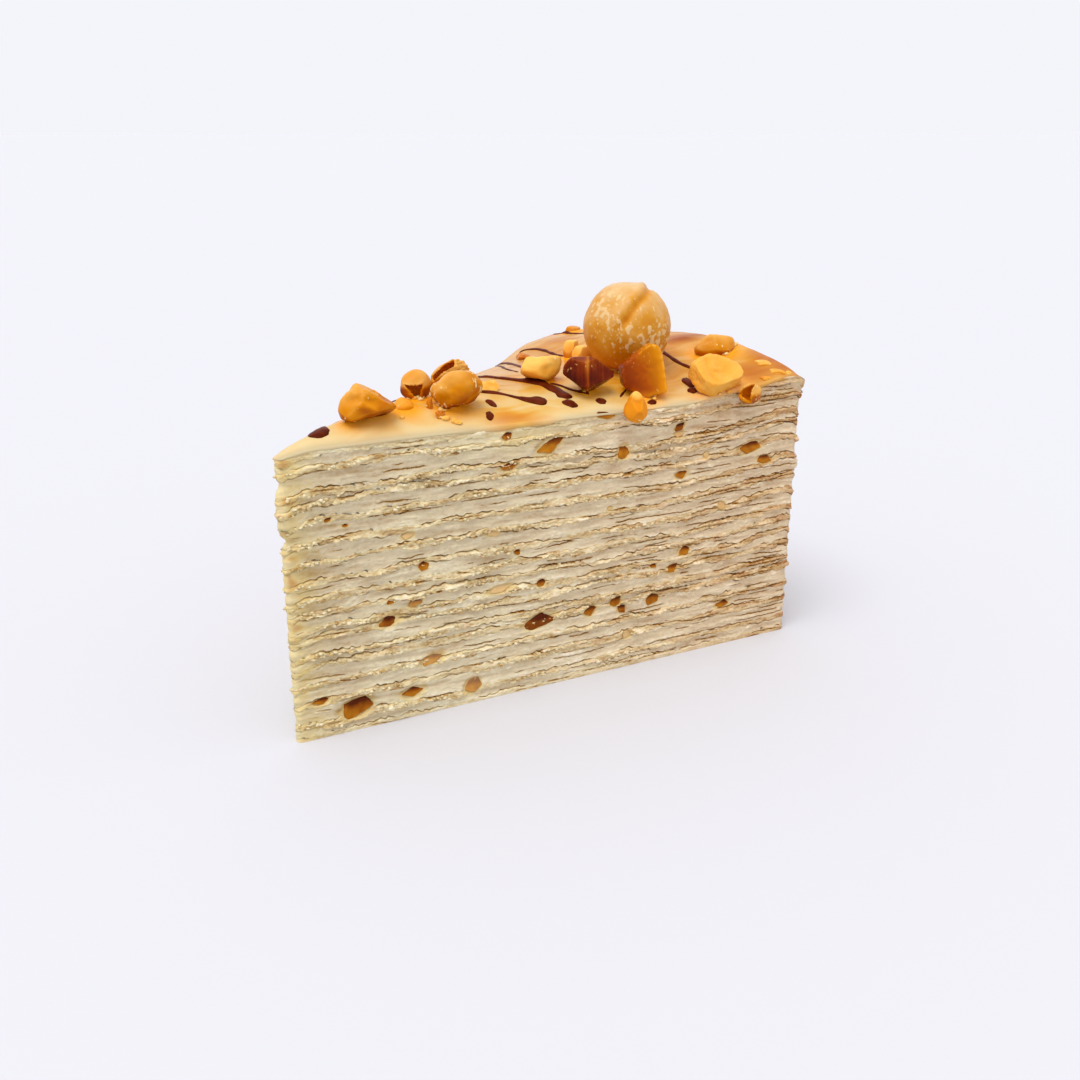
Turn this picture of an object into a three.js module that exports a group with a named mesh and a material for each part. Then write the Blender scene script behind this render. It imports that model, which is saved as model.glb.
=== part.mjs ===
// A wedge of crepe cake: thin crepes stacked with cream between them, and caramelised nut pieces on top.
// Units are millimetres, +Z is up. The front cut face lies along X and looks towards -Y, with the tip
// of the wedge at -X and the outer rim of the cake at +X.
import * as THREE from "three";
import { mergeVertices } from "three/addons/utils/BufferGeometryUtils.js";

// The wedge, seen from above: two cut faces that meet at a blunt tip, and an arc of the cake's rim.
const CUT_LENGTH = 115;
const TIP_RADIUS = 2;
const RIM_RADIUS = TIP_RADIUS + CUT_LENGTH;
const SLICE_ANGLE = THREE.MathUtils.degToRad(37.5);

// The top is crowned between its two cut edges, sags at the tip and lifts a little at the rim.
const CUT_EDGE_HEIGHT = 55.9;
const RIM_LIFT = 1.8;
const RIM_LIFT_START = 85;
const RIM_LIFT_END = 106;
const CROWN_AT_TIP = 3.6;
const CROWN_AT_RIM = 4.3;
const CROWN_FULL_FROM = 30;
const CROWN_ROUNDNESS = 0.86;
const TIP_SAG = 2;
const TIP_SAG_LENGTH = 12;

// Crepes are even, and the cream between them was spread by hand, so its depth changes from one to
// the next. The depths run from the bottom up, and are fitted to the height of the stack.
const CREPE_THICKNESS = 1.25;
const CREAM_DEPTHS = [1.3, 3.4, 2.3, 2.8, 0.9, 2.3, 0.9, 1.6, 1.7, 2.2, 2.5, 2.5, 3.2, 2.2, 0.8, 3.1, 1.2];

// The knife leaves crepes a little proud of the cream, and nothing quite in line.
const CREPE_PROUD = 0.3;
const CREAM_PROUD = -0.1;
const CUT_UNEVENNESS = 0.25;
const RIM_UNEVENNESS = 0.7;
const TIP_BULGE = 1.2;
const TIP_BULGE_CENTRE = 0.8;
const TIP_BULGE_SPAN = 0.12;

// The grid that each layer's top and bottom is drawn on, closer together towards the tip.
const STEPS_ALONG = 6;
const STEPS_ACROSS = 4;
const STEP_GROWTH = 1.15;

// Toppings rest this far above the top crepe, on the glaze.
const GLAZE_GAP = 0.05;

const looks = {
  crepe: new THREE.MeshStandardMaterial({ color: "#ecd9a6", roughness: 0.75, metalness: 0 }),
  cream: new THREE.MeshStandardMaterial({ color: "#e2d6bd", roughness: 0.5, metalness: 0 }),
  topCrepe: new THREE.MeshStandardMaterial({ color: "#e9b877", roughness: 0.3, metalness: 0 }),
  paleNut: new THREE.MeshStandardMaterial({ color: "#f0b654", roughness: 0.4, metalness: 0 }),
  amberNut: new THREE.MeshStandardMaterial({ color: "#d2862d", roughness: 0.3, metalness: 0 }),
  darkCaramel: new THREE.MeshStandardMaterial({ color: "#8a3a12", roughness: 0.2, metalness: 0 }),
};

// A repeatable number from -1 to 1 for any three values.
function wobble(a, b, c) {
  const s = Math.sin(a * 12.9898 + b * 78.233 + c * 37.719) * 43758.5453;
  return 2 * (s - Math.floor(s)) - 1;
}

// Height of the cake's top, at a distance from the apex and a share of the way from cut to cut.
function topHeight(radius, share) {
  const lift = RIM_LIFT * THREE.MathUtils.smoothstep(radius, RIM_LIFT_START, RIM_LIFT_END);
  const crown = THREE.MathUtils.lerp(CROWN_AT_TIP, CROWN_AT_RIM, radius / RIM_RADIUS);
  const arch = Math.pow(4 * share * (1 - share), CROWN_ROUNDNESS);
  const grown = Math.min(radius / CROWN_FULL_FROM, 1);
  const sag = TIP_SAG * Math.pow(Math.max(1 - radius / TIP_SAG_LENGTH, 0), 1.5);
  return CUT_EDGE_HEIGHT + lift + crown * arch * grown - sag;
}

// A point of the stack. Level is a share of the top's height, and proud pushes an outer point outwards.
function stackPoint(along, across, level, proud) {
  const growth = Math.pow(along / STEPS_ALONG, STEP_GROWTH);
  const share = across / STEPS_ACROSS;
  const angle = share * SLICE_ANGLE;
  let radius = TIP_RADIUS + CUT_LENGTH * growth;
  const height = level * topHeight(radius, share);
  if (along === 0) {
    const bulge = Math.exp(-(((level - TIP_BULGE_CENTRE) / TIP_BULGE_SPAN) ** 2));
    radius -= TIP_BULGE * bulge + proud;
  }
  if (along === STEPS_ALONG) radius += RIM_UNEVENNESS * wobble(across, level, 1) + proud;
  const point = new THREE.Vector3(radius * Math.cos(angle), radius * Math.sin(angle), height);
  if (across === 0) point.y -= CUT_UNEVENNESS * wobble(along, level, 2) + proud;
  if (across === STEPS_ACROSS) {
    const out = CUT_UNEVENNESS * wobble(along, level, 3) + proud;
    point.x -= out * Math.sin(SLICE_ANGLE);
    point.y += out * Math.cos(SLICE_ANGLE);
  }
  return point;
}

// The grid's outer places in order, seen from above and turning anticlockwise.
function outline() {
  const places = [];
  for (let i = 0; i < STEPS_ALONG; i++) places.push([i, 0]);
  for (let j = 0; j < STEPS_ACROSS; j++) places.push([STEPS_ALONG, j]);
  for (let i = STEPS_ALONG; i > 0; i--) places.push([i, STEPS_ACROSS]);
  for (let j = STEPS_ACROSS; j > 0; j--) places.push([0, j]);
  return places;
}

// One layer between two levels: a bottom grid, a top grid, and a side that bulges at mid-height.
function layerGeometry(low, high, proud) {
  const corners = [];
  const face = (...points) => {
    for (let i = 1; i + 1 < points.length; i++) corners.push(points[0], points[i], points[i + 1]);
  };
  for (let i = 0; i < STEPS_ALONG; i++) {
    for (let j = 0; j < STEPS_ACROSS; j++) {
      const ring = [[i, j], [i + 1, j], [i + 1, j + 1], [i, j + 1]];
      const bottom = ring.map(([a, b]) => stackPoint(a, b, low, 0));
      face(bottom[0], bottom[2], bottom[1]);
      face(bottom[0], bottom[3], bottom[2]);
      face(...ring.map(([a, b]) => stackPoint(a, b, high, 0)));
    }
  }
  const places = outline();
  places.forEach(([i, j], n) => {
    const [k, l] = places[(n + 1) % places.length];
    const middle = (low + high) / 2;
    const rows = [[low, 0], [middle, proud], [high, 0]];
    for (let row = 0; row < 2; row++) {
      const [below, belowProud] = rows[row];
      const [above, aboveProud] = rows[row + 1];
      face(
        stackPoint(i, j, below, belowProud),
        stackPoint(k, l, below, belowProud),
        stackPoint(k, l, above, aboveProud),
        stackPoint(i, j, above, aboveProud),
      );
    }
  });
  return new THREE.BufferGeometry().setFromPoints(corners);
}

function addPiece(parent, name, geometry, material) {
  const mesh = new THREE.Mesh(geometry, material);
  mesh.name = name;
  parent.add(mesh);
  return mesh;
}

// The stack: a crepe at the bottom and at the top, and cream between each crepe and the next.
function buildStack(parent) {
  const crepes = CREAM_DEPTHS.length + 1;
  const creamTotal = CREAM_DEPTHS.reduce((sum, depth) => sum + depth, 0);
  const creamScale = (CUT_EDGE_HEIGHT - crepes * CREPE_THICKNESS) / creamTotal;
  let level = 0;
  let topCrepe;
  for (let n = 0; n < crepes; n++) {
    const number = String(n + 1).padStart(2, "0");
    const crepeTop = n === crepes - 1 ? 1 : level + CREPE_THICKNESS / CUT_EDGE_HEIGHT;
    const material = n === crepes - 1 ? looks.topCrepe : looks.crepe;
    topCrepe = addPiece(parent, `crepe_${number}`, layerGeometry(level, crepeTop, CREPE_PROUD), material);
    if (n === crepes - 1) break;
    const creamTop = crepeTop + (CREAM_DEPTHS[n] * creamScale) / CUT_EDGE_HEIGHT;
    addPiece(parent, `cream_${number}`, layerGeometry(crepeTop, creamTop, CREAM_PROUD), looks.cream);
    level = creamTop;
  }
  return topCrepe;
}

// A rounded body whose surface is set by a function of direction, scaled to width, depth and height.
function roundedGeometry(size, reach, detail) {
  const ball = new THREE.IcosahedronGeometry(1, detail);
  ball.deleteAttribute("normal");
  ball.deleteAttribute("uv");
  const geometry = mergeVertices(ball);
  const place = geometry.attributes.position;
  const way = new THREE.Vector3();
  for (let i = 0; i < place.count; i++) {
    way.fromBufferAttribute(place, i).normalize();
    way.multiplyScalar(reach(way));
    place.setXYZ(i, way.x, way.y, way.z);
  }
  geometry.center();
  geometry.computeBoundingBox();
  const now = geometry.boundingBox.getSize(new THREE.Vector3());
  geometry.scale(size[0] / now.x, size[1] / now.y, size[2] / now.z);
  return geometry;
}

// A broken chunk: a ball cut back by flat breaks. Each break has an azimuth, an elevation and a depth.
function chunkGeometry(size, breaks, detail = 2) {
  const cuts = breaks.map(([azimuth, elevation, depth]) => ({
    depth,
    normal: new THREE.Vector3().setFromSphericalCoords(
      1,
      THREE.MathUtils.degToRad(90 - elevation),
      THREE.MathUtils.degToRad(azimuth),
    ),
  }));
  // setFromSphericalCoords measures from +Y, so its axes are turned to make Z the upright one.
  cuts.forEach(({ normal }) => normal.set(normal.z, normal.x, normal.y));
  const reach = (way) => {
    let least = 1;
    for (const { normal, depth } of cuts) {
      const facing = way.dot(normal);
      if (facing > 0) least = Math.min(least, depth / facing);
    }
    return least;
  };
  return roundedGeometry(size, reach, detail);
}

// Half of a nut's skin: a bowl of even wall whose mouth opens upwards before it is turned.
function shellGeometry(size, wall, mouth) {
  const points = [];
  const steps = 5;
  for (let i = 0; i <= steps; i++) {
    const turn = (mouth * i) / steps;
    points.push(new THREE.Vector2(Math.sin(turn), -Math.cos(turn)));
  }
  for (let i = steps; i >= 0; i--) {
    const turn = (mouth * i) / steps;
    points.push(new THREE.Vector2((1 - wall) * Math.sin(turn), -(1 - wall) * Math.cos(turn)));
  }
  const geometry = new THREE.LatheGeometry(points, 12);
  geometry.rotateX(Math.PI / 2);
  geometry.scale(size[0] / 2, size[1] / 2, size[2] / 2);
  return geometry;
}

// A whole nut: round, a little pointed at one end, with a raised seam over its crown.
function wholeNutGeometry(size) {
  const seam = new THREE.Vector3(0.8, -0.6, 0).normalize();
  const seamHeight = 0.05;
  const seamWidth = 0.12;
  const seamOff = 0.1;
  const [crownLow, crownHigh] = [-0.3, 0.4];
  return roundedGeometry(
    size,
    (way) => {
      const off = way.dot(seam) - seamOff;
      const crown = THREE.MathUtils.smoothstep(way.z, crownLow, crownHigh);
      return 1 + seamHeight * crown * Math.exp(-((off / seamWidth) ** 2));
    },
    4,
  );
}

// A slab of brittle that stands on its edge. Its corners are shares of its width and height.
function brittleGeometry(width, height, thickness) {
  const bevel = 0.5;
  const corners = [[-0.5, -0.28], [-0.1, -0.5], [0.5, -0.5], [0.42, 0.34], [0.2, 0.5], [-0.38, 0.16]];
  const outlineOfSlab = new THREE.Shape();
  corners.forEach(([x, y], i) => {
    const placeX = x * (width - 2 * bevel);
    const placeY = y * (height - 2 * bevel);
    if (i === 0) outlineOfSlab.moveTo(placeX, placeY);
    else outlineOfSlab.lineTo(placeX, placeY);
  });
  const geometry = new THREE.ExtrudeGeometry(outlineOfSlab, {
    depth: thickness - 2 * bevel,
    bevelSize: bevel,
    bevelThickness: bevel,
    bevelSegments: 1,
  });
  geometry.center();
  geometry.rotateX(Math.PI / 2);
  return geometry;
}

// A drop that hangs over the edge: pointed at the top, round below.
const TAPER_OF_DROP = 0.35;
function dropGeometry(width, height) {
  const points = [];
  const steps = 6;
  for (let i = 0; i <= steps; i++) {
    const turn = (Math.PI * i) / steps;
    const taper = 1 - TAPER_OF_DROP * (i / steps);
    points.push(new THREE.Vector2((width / 2) * Math.sin(turn) * taper, -(height / 2) * Math.cos(turn)));
  }
  points[0].x = 0;
  points[steps].x = 0;
  const geometry = new THREE.LatheGeometry(points, 10);
  geometry.rotateX(Math.PI / 2);
  return geometry;
}

// Turns a topping, stands it over a place on the top crepe and lets it down until it rests there.
function restOnTop(mesh, topCrepe, x, y, turn = [0, 0, 0]) {
  const samples = 48;
  const up = new THREE.Vector3(0, 0, 1);
  const down = new THREE.Vector3(0, 0, -1);
  const ray = new THREE.Raycaster();
  mesh.rotation.set(...turn.map((degrees) => THREE.MathUtils.degToRad(degrees)));
  mesh.position.set(x, y, 0);
  mesh.updateMatrixWorld(true);
  const box = new THREE.Box3().setFromObject(mesh);
  let lift = -Infinity;
  mesh.material.side = THREE.DoubleSide;
  for (let i = 0; i <= samples; i++) {
    for (let j = 0; j <= samples; j++) {
      const placeX = THREE.MathUtils.lerp(box.min.x, box.max.x, i / samples);
      const placeY = THREE.MathUtils.lerp(box.min.y, box.max.y, j / samples);
      ray.set(new THREE.Vector3(placeX, placeY, box.min.z - 1), up);
      const underside = ray.intersectObject(mesh)[0];
      if (!underside) continue;
      ray.set(new THREE.Vector3(placeX, placeY, 2 * CUT_EDGE_HEIGHT), down);
      const ground = ray.intersectObject(topCrepe)[0];
      if (ground) lift = Math.max(lift, ground.point.z - underside.point.z);
    }
  }
  mesh.material.side = THREE.FrontSide;
  mesh.position.z = lift + GLAZE_GAP;
}

// Nut pieces and caramel on the top, from the tip to the rim, placed in the plane of the wedge.
function buildToppings(parent, topCrepe) {
  const rest = (name, geometry, material, x, y, turn) =>
    restOnTop(addPiece(parent, name, geometry, material), topCrepe, x, y, turn);

  const pyramid = [[200, 35, 0.45], [320, 30, 0.5], [80, 35, 0.5], [0, -90, 0.35], [140, 10, 0.8]];
  rest("caramel_chunk_tip", chunkGeometry([10.4, 7.8, 7.4], pyramid, 3), looks.amberNut, 20.1, 3.9);
  const mound = [[30, 40, 0.7], [210, 20, 0.7]];
  rest("nut_bit_tip", chunkGeometry([4.2, 3.2, 3.2], mound), looks.paleNut, 28, 6.2);
  rest("curled_shell", shellGeometry([6.4, 6.2, 7], 0.2, 1.75), looks.amberNut, 32.7, 10.6, [75, 0, 20]);
  const roundBreaks = [[60, 60, 0.72], [250, 50, 0.85]];
  rest("round_nut", chunkGeometry([9.7, 7.6, 7.8], roundBreaks, 3), looks.amberNut, 38.3, 5.2);
  rest("split_shell", shellGeometry([8.8, 6.4, 8], 0.2, 1.6), looks.paleNut, 41.8, 14.8, [100, 0, -20]);
  const block = [[270, 20, 0.75], [350, 10, 0.8], [90, 15, 0.75], [180, 40, 0.7], [0, 90, 0.6], [0, -90, 0.5]];
  rest("nut_block", chunkGeometry([9.2, 6.4, 5.6], block), looks.paleNut, 61.4, 15.8);
  const gem = [[250, 20, 0.7], [310, 5, 0.75], [200, 40, 0.7], [20, 40, 0.7], [120, 20, 0.75], [0, -90, 0.5]];
  rest("dark_caramel", chunkGeometry([10.6, 7.4, 7.4], gem, 3), looks.darkCaramel, 67.5, 6.7, [0, 0, -20]);
  rest("nut_sliver_back", chunkGeometry([3.4, 3.6, 4], block), looks.paleNut, 78.8, 34, [0, 0, 30]);
  rest("nut_sliver_front", chunkGeometry([4.8, 3.6, 3.6], gem), looks.paleNut, 78.2, 28, [0, 0, 10]);
  rest("whole_nut", wholeNutGeometry([18.8, 18, 18.6]), looks.amberNut, 83, 17.6);
  rest("brittle_slab", brittleGeometry(9.3, 10.4, 4), looks.amberNut, 78.6, 4.2, [-6, 0, -20]);
  const flat = [[0, 90, 0.42], [0, -90, 0.42], [200, 0, 0.8], [300, 0, 0.75], [60, 0, 0.85]];
  rest("nut_half", chunkGeometry([12.4, 9.8, 3.8], flat, 3), looks.paleNut, 95.2, 1.5, [42, 0, -15]);
  rest("rim_nut_block", chunkGeometry([10.8, 5.6, 5.6], block), looks.amberNut, 105.2, 16.6, [0, 0, -15]);
  rest("back_caramel", chunkGeometry([5.2, 4.4, 3], gem), looks.amberNut, 94.2, 60.6, [0, 0, 40]);

  // Two pieces hang over the front cut edge, stuck to its face.
  const hang = (name, geometry, material, x, y, z, turn) => {
    const mesh = addPiece(parent, name, geometry, material);
    mesh.rotation.set(...turn.map((degrees) => THREE.MathUtils.degToRad(degrees)));
    mesh.position.set(x, y, z);
  };
  hang("edge_drop", dropGeometry(5.8, 6.2), looks.paleNut, 72.4, -3.5, 57.5, [0, 0, 0]);
  hang("edge_curl", shellGeometry([5.4, 5, 5.4], 0.25, 1.5), looks.amberNut, 100.8, -3.5, 57.4, [60, 0, 0]);
}

const slice = new THREE.Group();
const topCrepe = buildStack(slice);
slice.updateMatrixWorld(true);
buildToppings(slice, topCrepe);

// The origin is under the middle of the slice, on the surface that it stands on.
slice.updateMatrixWorld(true);
const extent = new THREE.Box3().setFromObject(slice, true);
slice.position.set(-(extent.min.x + extent.max.x) / 2, -(extent.min.y + extent.max.y) / 2, -extent.min.z);

const group = new THREE.Group();
group.add(slice);

export default group;
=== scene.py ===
"""A wedge of crepe cake: crepes and cream in layers, caramel glaze, nuts, brittle and chocolate drizzle."""

import math

import bmesh
import bpy
import numpy as np
from mathutils import Euler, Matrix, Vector, kdtree


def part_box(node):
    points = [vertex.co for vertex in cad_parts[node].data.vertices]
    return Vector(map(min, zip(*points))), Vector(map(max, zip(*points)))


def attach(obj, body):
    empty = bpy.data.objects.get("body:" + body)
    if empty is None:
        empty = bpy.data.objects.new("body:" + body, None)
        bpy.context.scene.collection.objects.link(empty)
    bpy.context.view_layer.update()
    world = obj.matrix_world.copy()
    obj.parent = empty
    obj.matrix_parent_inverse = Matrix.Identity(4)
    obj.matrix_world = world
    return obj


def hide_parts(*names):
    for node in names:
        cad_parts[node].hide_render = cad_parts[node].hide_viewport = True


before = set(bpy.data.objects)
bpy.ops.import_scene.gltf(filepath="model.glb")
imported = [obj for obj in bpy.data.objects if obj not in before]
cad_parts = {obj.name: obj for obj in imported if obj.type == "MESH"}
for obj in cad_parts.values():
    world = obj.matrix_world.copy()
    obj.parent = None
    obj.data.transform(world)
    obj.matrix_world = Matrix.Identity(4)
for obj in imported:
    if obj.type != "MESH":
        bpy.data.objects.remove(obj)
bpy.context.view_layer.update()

# --- The stack ---------------------------------------------------------------------------------------
# Eighteen thin crepes of fried egg batter, with whipped pastry cream spread between each and the next.
# The chilled cake is cut with a knife, which tears the crepes to crumbs and smears the cream flat.

MM = 0.001
CREPES = 18
TIP_CORNER = np.array([*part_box("crepe_01")[0]]) / MM
POINT = TIP_CORNER + [-1.46, 0.1, 0]  # under the place where the two cuts would meet
CUT_ANGLE = math.radians(37.5)
RIM_RADIUS = 117.0
CUT_HEIGHT = 55.9
CROWN = 3.6
TIP_ROUNDNESS = 1.1
CORNER_ROUNDNESS = 1.8
FRONT_STEP = 0.21
OTHER_STEP = 0.42
ROW_STEP = 0.12
LEAST_CREPE = 0.55
LEAST_CREAM = 0.3
SEAM_LIP = 0.09
TEAR_SPACING = 0.95
TEAR_WIDTH = 0.2
TEAR_DEPTH = 0.28
SOCKET_DEPTH = 0.35
GRAIN_SHARE = 0.05
NEXT_GRAIN = 9.0  # far enough in mm for the grain of one seam to be nothing like the next one's
MIDDLE_RADIUS = 78
MIDDLE = MIDDLE_RADIUS * np.array([math.cos(CUT_ANGLE / 2), math.sin(CUT_ANGLE / 2)])


def ease(low, high, value):
    """0 below low, 1 above high and smooth between them."""
    t = np.clip((value - low) / (high - low), 0, 1)
    return t * t * (3 - 2 * t)


def hump(value, middle, width):
    """1 at the middle, fading to 0 on both sides of it."""
    return np.exp(-(((value - middle) / width) ** 2))


def unit(ways):
    """The same directions at a length of 1."""
    return ways / np.linalg.norm(ways, axis=1)[:, None]


def turned(x, y, degrees):
    """Two coordinates turned about their zero, anticlockwise."""
    turn = math.radians(degrees)
    return x * math.cos(turn) - y * math.sin(turn), x * math.sin(turn) + y * math.cos(turn)


def at_level(places, level=0.0):
    """Places on the flat, all given one height."""
    return np.concatenate([places, np.full(places.shape[:-1] + (1,), float(level))], axis=-1)


def polar(places):
    """The distance from the point, and the share of the way from the front cut to the back one."""
    radius = np.hypot(places[..., 0], places[..., 1])
    return radius, np.clip(np.arctan2(places[..., 1], places[..., 0]) / CUT_ANGLE, 0, 1)


def top_height(places):
    """Height of the top crepe: crowned between the cuts, sunk at the tip and lifted near the rim."""
    radius, share = polar(places)
    lift = (1.8 + 0.9 * ease(0.1, 0.5, share)) * ease(85, 106, radius)
    lift += 1.5 * ease(103, 113, radius) * (1 - ease(0.25, 0.6, share))
    crown = (CROWN + 0.7 * radius / RIM_RADIUS) * (4 * share * (1 - share)) ** 0.86
    sag = 1.8 * np.maximum(1 - radius / 9, 0) ** 1.5
    rolled_edge = 1.6 * ease(RIM_RADIUS - 3.0, RIM_RADIUS, radius) ** 2
    return CUT_HEIGHT + lift + crown * np.minimum(radius / 26, 1) - sag - rolled_edge


# Chopped nut and caramel sprinkled between the crepes, where the knife has left it bare in the cut:
# along the cut, height, width and height of each bit, its lean in degrees, and 0 for pale to 1 for dark.
BITS = [
    (55.5, 51.1, 6.3, 3.0, 22, 0.35), (46.8, 48.0, 4.0, 1.5, 8, 0.4), (10.5, 42.9, 1.4, 0.8, 10, 0.4),
    (13.8, 41.3, 1.1, 0.6, 0, 0.4), (25.7, 37.5, 2.5, 1.3, 5, 0.1), (43.2, 35.1, 2.8, 1.1, 0, 0.1),
    (28.6, 31.0, 2.2, 1.9, 30, 0.45), (48.2, 30.4, 1.3, 1.2, 0, 0.5), (21.6, 25.0, 1.4, 1.1, 0, 0.4),
    (26.6, 23.8, 2.8, 1.4, 12, 0.2), (44.4, 23.3, 5.1, 1.6, 6, 0.1), (53.6, 22.9, 2.0, 1.6, 20, 0.45),
    (21.3, 21.1, 4.5, 2.4, 10, 0.75), (53.2, 14.8, 7.2, 3.2, 12, 0.9), (29.6, 11.4, 5.0, 1.9, 10, 0.2),
    (7.1, 7.6, 3.4, 1.4, 8, 0.5), (14.0, 4.6, 6.6, 3.9, 14, 0.5), (25.4, 5.2, 4.9, 2.4, 5, 0.4),
    (38.1, 3.6, 3.9, 3.2, 30, 0.2), (85.6, 51.3, 2.8, 1.6, 30, 0.7), (85.4, 49.9, 2.2, 1.5, 10, 0.15),
    (72.1, 47.7, 3.1, 2.8, 50, 0.35), (103.9, 44.8, 6.2, 2.5, 8, 0.45), (107.8, 41.6, 3.7, 2.0, -8, 0.45),
    (92.4, 44.4, 1.5, 1.4, 0, 0.05), (86.4, 41.2, 3.4, 2.1, 10, 0.45), (69.3, 36.2, 1.2, 0.8, 0, 0.1),
    (97.1, 32.7, 1.7, 2.2, 60, 0.15), (87.8, 24.0, 2.9, 2.0, 12, 0.45), (80.2, 21.9, 1.5, 1.0, 0, 0.4),
    (85.0, 20.4, 3.1, 1.9, 15, 0.35), (65.0, 14.6, 3.1, 2.2, 20, 0.45), (71.2, 15.6, 3.2, 2.0, 20, 0.45),
    (72.6, 13.6, 2.4, 1.8, -20, 0.6), (80.3, 14.5, 3.4, 2.5, 10, 0.5), (98.6, 9.6, 3.8, 1.7, 8, 0.4),
    (74.1, 7.4, 2.5, 1.9, 0, 0.1), (67.9, 55.6, 4.2, 1.4, -8, 0.4), (46.3, 54.0, 2.4, 1.5, 25, 0.55),
]

chance = np.random.default_rng(7)
shuffled = np.tile(chance.permutation(256), 3)
directions = unit(chance.normal(size=(256, 3)))


def grain(points, size, seed):
    """Smooth lumps from about -1 to 1. Size is how far apart they are in mm, one number or three."""
    place = points / np.broadcast_to(np.asarray(size, float), 3) + seed * 17.31
    cell = np.floor(place).astype(int)
    inside = place - cell
    fade = inside**3 * (inside * (inside * 6 - 15) + 10)
    total = np.zeros(place.shape[:-1])
    for corner in np.ndindex(2, 2, 2):
        x, y, z = np.moveaxis((cell + corner) & 255, -1, 0)
        way = directions[shuffled[shuffled[shuffled[x] + y] + z]]
        weight = np.prod(np.where(corner, fade, 1 - fade), axis=-1)
        total += weight * np.einsum("...i,...i", way, inside - corner)
    return 1.6 * total


def outline(front_step, other_step):
    """Places round the slice, from the tip and turning anticlockwise, and the way out at each."""
    half = CUT_ANGLE / 2
    near = TIP_ROUNDNESS / math.tan(half)
    far = math.sqrt((RIM_RADIUS - CORNER_ROUNDNESS) ** 2 - CORNER_ROUNDNESS**2)
    turn = math.asin(CORNER_ROUNDNESS / (RIM_RADIUS - CORNER_ROUNDNESS))
    across = np.array([math.cos(CUT_ANGLE), math.sin(CUT_ANGLE)])
    out = np.array([-across[1], across[0]])
    front_corner = np.array([far, CORNER_ROUNDNESS])
    back_corner = far * across - CORNER_ROUNDNESS * out
    tip_middle = TIP_ROUNDNESS / math.sin(half) * np.array([math.cos(half), math.sin(half)])

    def straight(start, end, way, step):
        share = np.arange(0, 1, step / np.linalg.norm(end - start))[:, None]
        return start + (end - start) * share, np.tile(way, (len(share), 1))

    def arc(middle, radius, start, end, step):
        angle = np.arange(start, end, step / radius)[:, None]
        way = np.hstack([np.cos(angle), np.sin(angle)])
        return middle + radius * way, way

    sides = [
        straight(np.array([near, 0]), np.array([far, 0]), [0, -1], front_step),
        arc(front_corner, CORNER_ROUNDNESS, -math.pi / 2, turn, front_step),
        arc(np.zeros(2), RIM_RADIUS, turn, CUT_ANGLE - turn, other_step),
        arc(back_corner, CORNER_ROUNDNESS, CUT_ANGLE - turn, CUT_ANGLE + math.pi / 2, other_step),
        straight(far * across, near * across, out, other_step),
        arc(tip_middle, TIP_ROUNDNESS, CUT_ANGLE + math.pi / 2, 1.5 * math.pi, other_step),
    ]
    return np.vstack([side[0] for side in sides]), np.vstack([side[1] for side in sides])


def make_piece(name, points, faces, material, tints=None):
    """A mesh from points in mm, measured from the wedge's point, and arrays of faces."""
    mesh = bpy.data.meshes.new(name)
    sizes = np.concatenate([np.full(len(f), np.shape(f)[1]) for f in faces])
    corners = np.concatenate([np.reshape(f, -1) for f in faces])
    mesh.vertices.add(len(points))
    mesh.vertices.foreach_set("co", ((points + POINT) * MM).astype(np.float32).reshape(-1))
    mesh.loops.add(len(corners))
    mesh.loops.foreach_set("vertex_index", corners.astype(np.int32))
    mesh.polygons.add(len(sizes))
    mesh.polygons.foreach_set("loop_start", (np.cumsum(sizes) - sizes).astype(np.int32))
    mesh.polygons.foreach_set("use_smooth", np.ones(len(sizes), bool))
    if tints is not None:
        stored = mesh.attributes.new("tints", "FLOAT_COLOR", "POINT")
        stored.data.foreach_set("color", np.clip(tints, 0, 1).astype(np.float32).reshape(-1))
    mesh.update(calc_edges=True)
    mesh.materials.append(material)
    made = bpy.data.objects.new(name, mesh)
    bpy.context.scene.collection.objects.link(made)
    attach(made, "root")
    return made


def paint(code):
    """A colour in linear light from its sRGB hex code."""
    parts = [int(code[i : i + 2], 16) / 255 for i in (1, 3, 5)]
    return [c / 12.92 if c <= 0.04045 else ((c + 0.055) / 1.055) ** 2.4 for c in parts] + [1.0]


def new_material(name, **sockets):
    """A material whose Principled shader has these even values."""
    made = bpy.data.materials.new(name)
    made.use_nodes = True
    for key, value in sockets.items():
        made.node_tree.nodes["Principled BSDF"].inputs[key.replace("_", " ")].default_value = value
    return made


def add(material, kind, inputs=None, stops=None, **settings):
    """Adds a node, or sets the shader itself. Inputs are values or the sockets that they come from."""
    nodes = material.node_tree.nodes
    node = nodes["Principled BSDF"] if kind == "Principled" else nodes.new("ShaderNode" + kind)
    for key, value in settings.items():
        setattr(node, key, value)
    for key, value in (inputs or {}).items():
        if isinstance(value, bpy.types.NodeSocket):
            material.node_tree.links.new(value, node.inputs[key])
        else:
            node.inputs[key].default_value = value
    for number, (place, code) in enumerate(stops or []):
        elements = node.color_ramp.elements
        element = elements[number] if number < 2 else elements.new(place)
        element.position = place
        element.color = paint(code)
    return node


def tint_parts(material):
    """The four values that a mesh keeps at each of its points, as sockets in its material."""
    kept = add(material, "Attribute", attribute_name="tints")
    return *add(material, "SeparateColor", {"Color": kept.outputs["Color"]}).outputs, kept.outputs["Alpha"]


def buttered(material, plain, buttery, stops):
    """A layer's plain colour, mixed with the yellow that it takes at the soft tip and beside syrup."""
    butter = add(material, "ValToRGB", {"Fac": buttery}, stops).outputs[0]
    soft_part = add(material, "MapRange", {"Value": buttery, "From Max": 0.5, "To Max": 0.75}).outputs[0]
    return add(material, "Mix", {0: soft_part, 6: plain, 7: butter}, data_type="RGBA").outputs[2]


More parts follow.
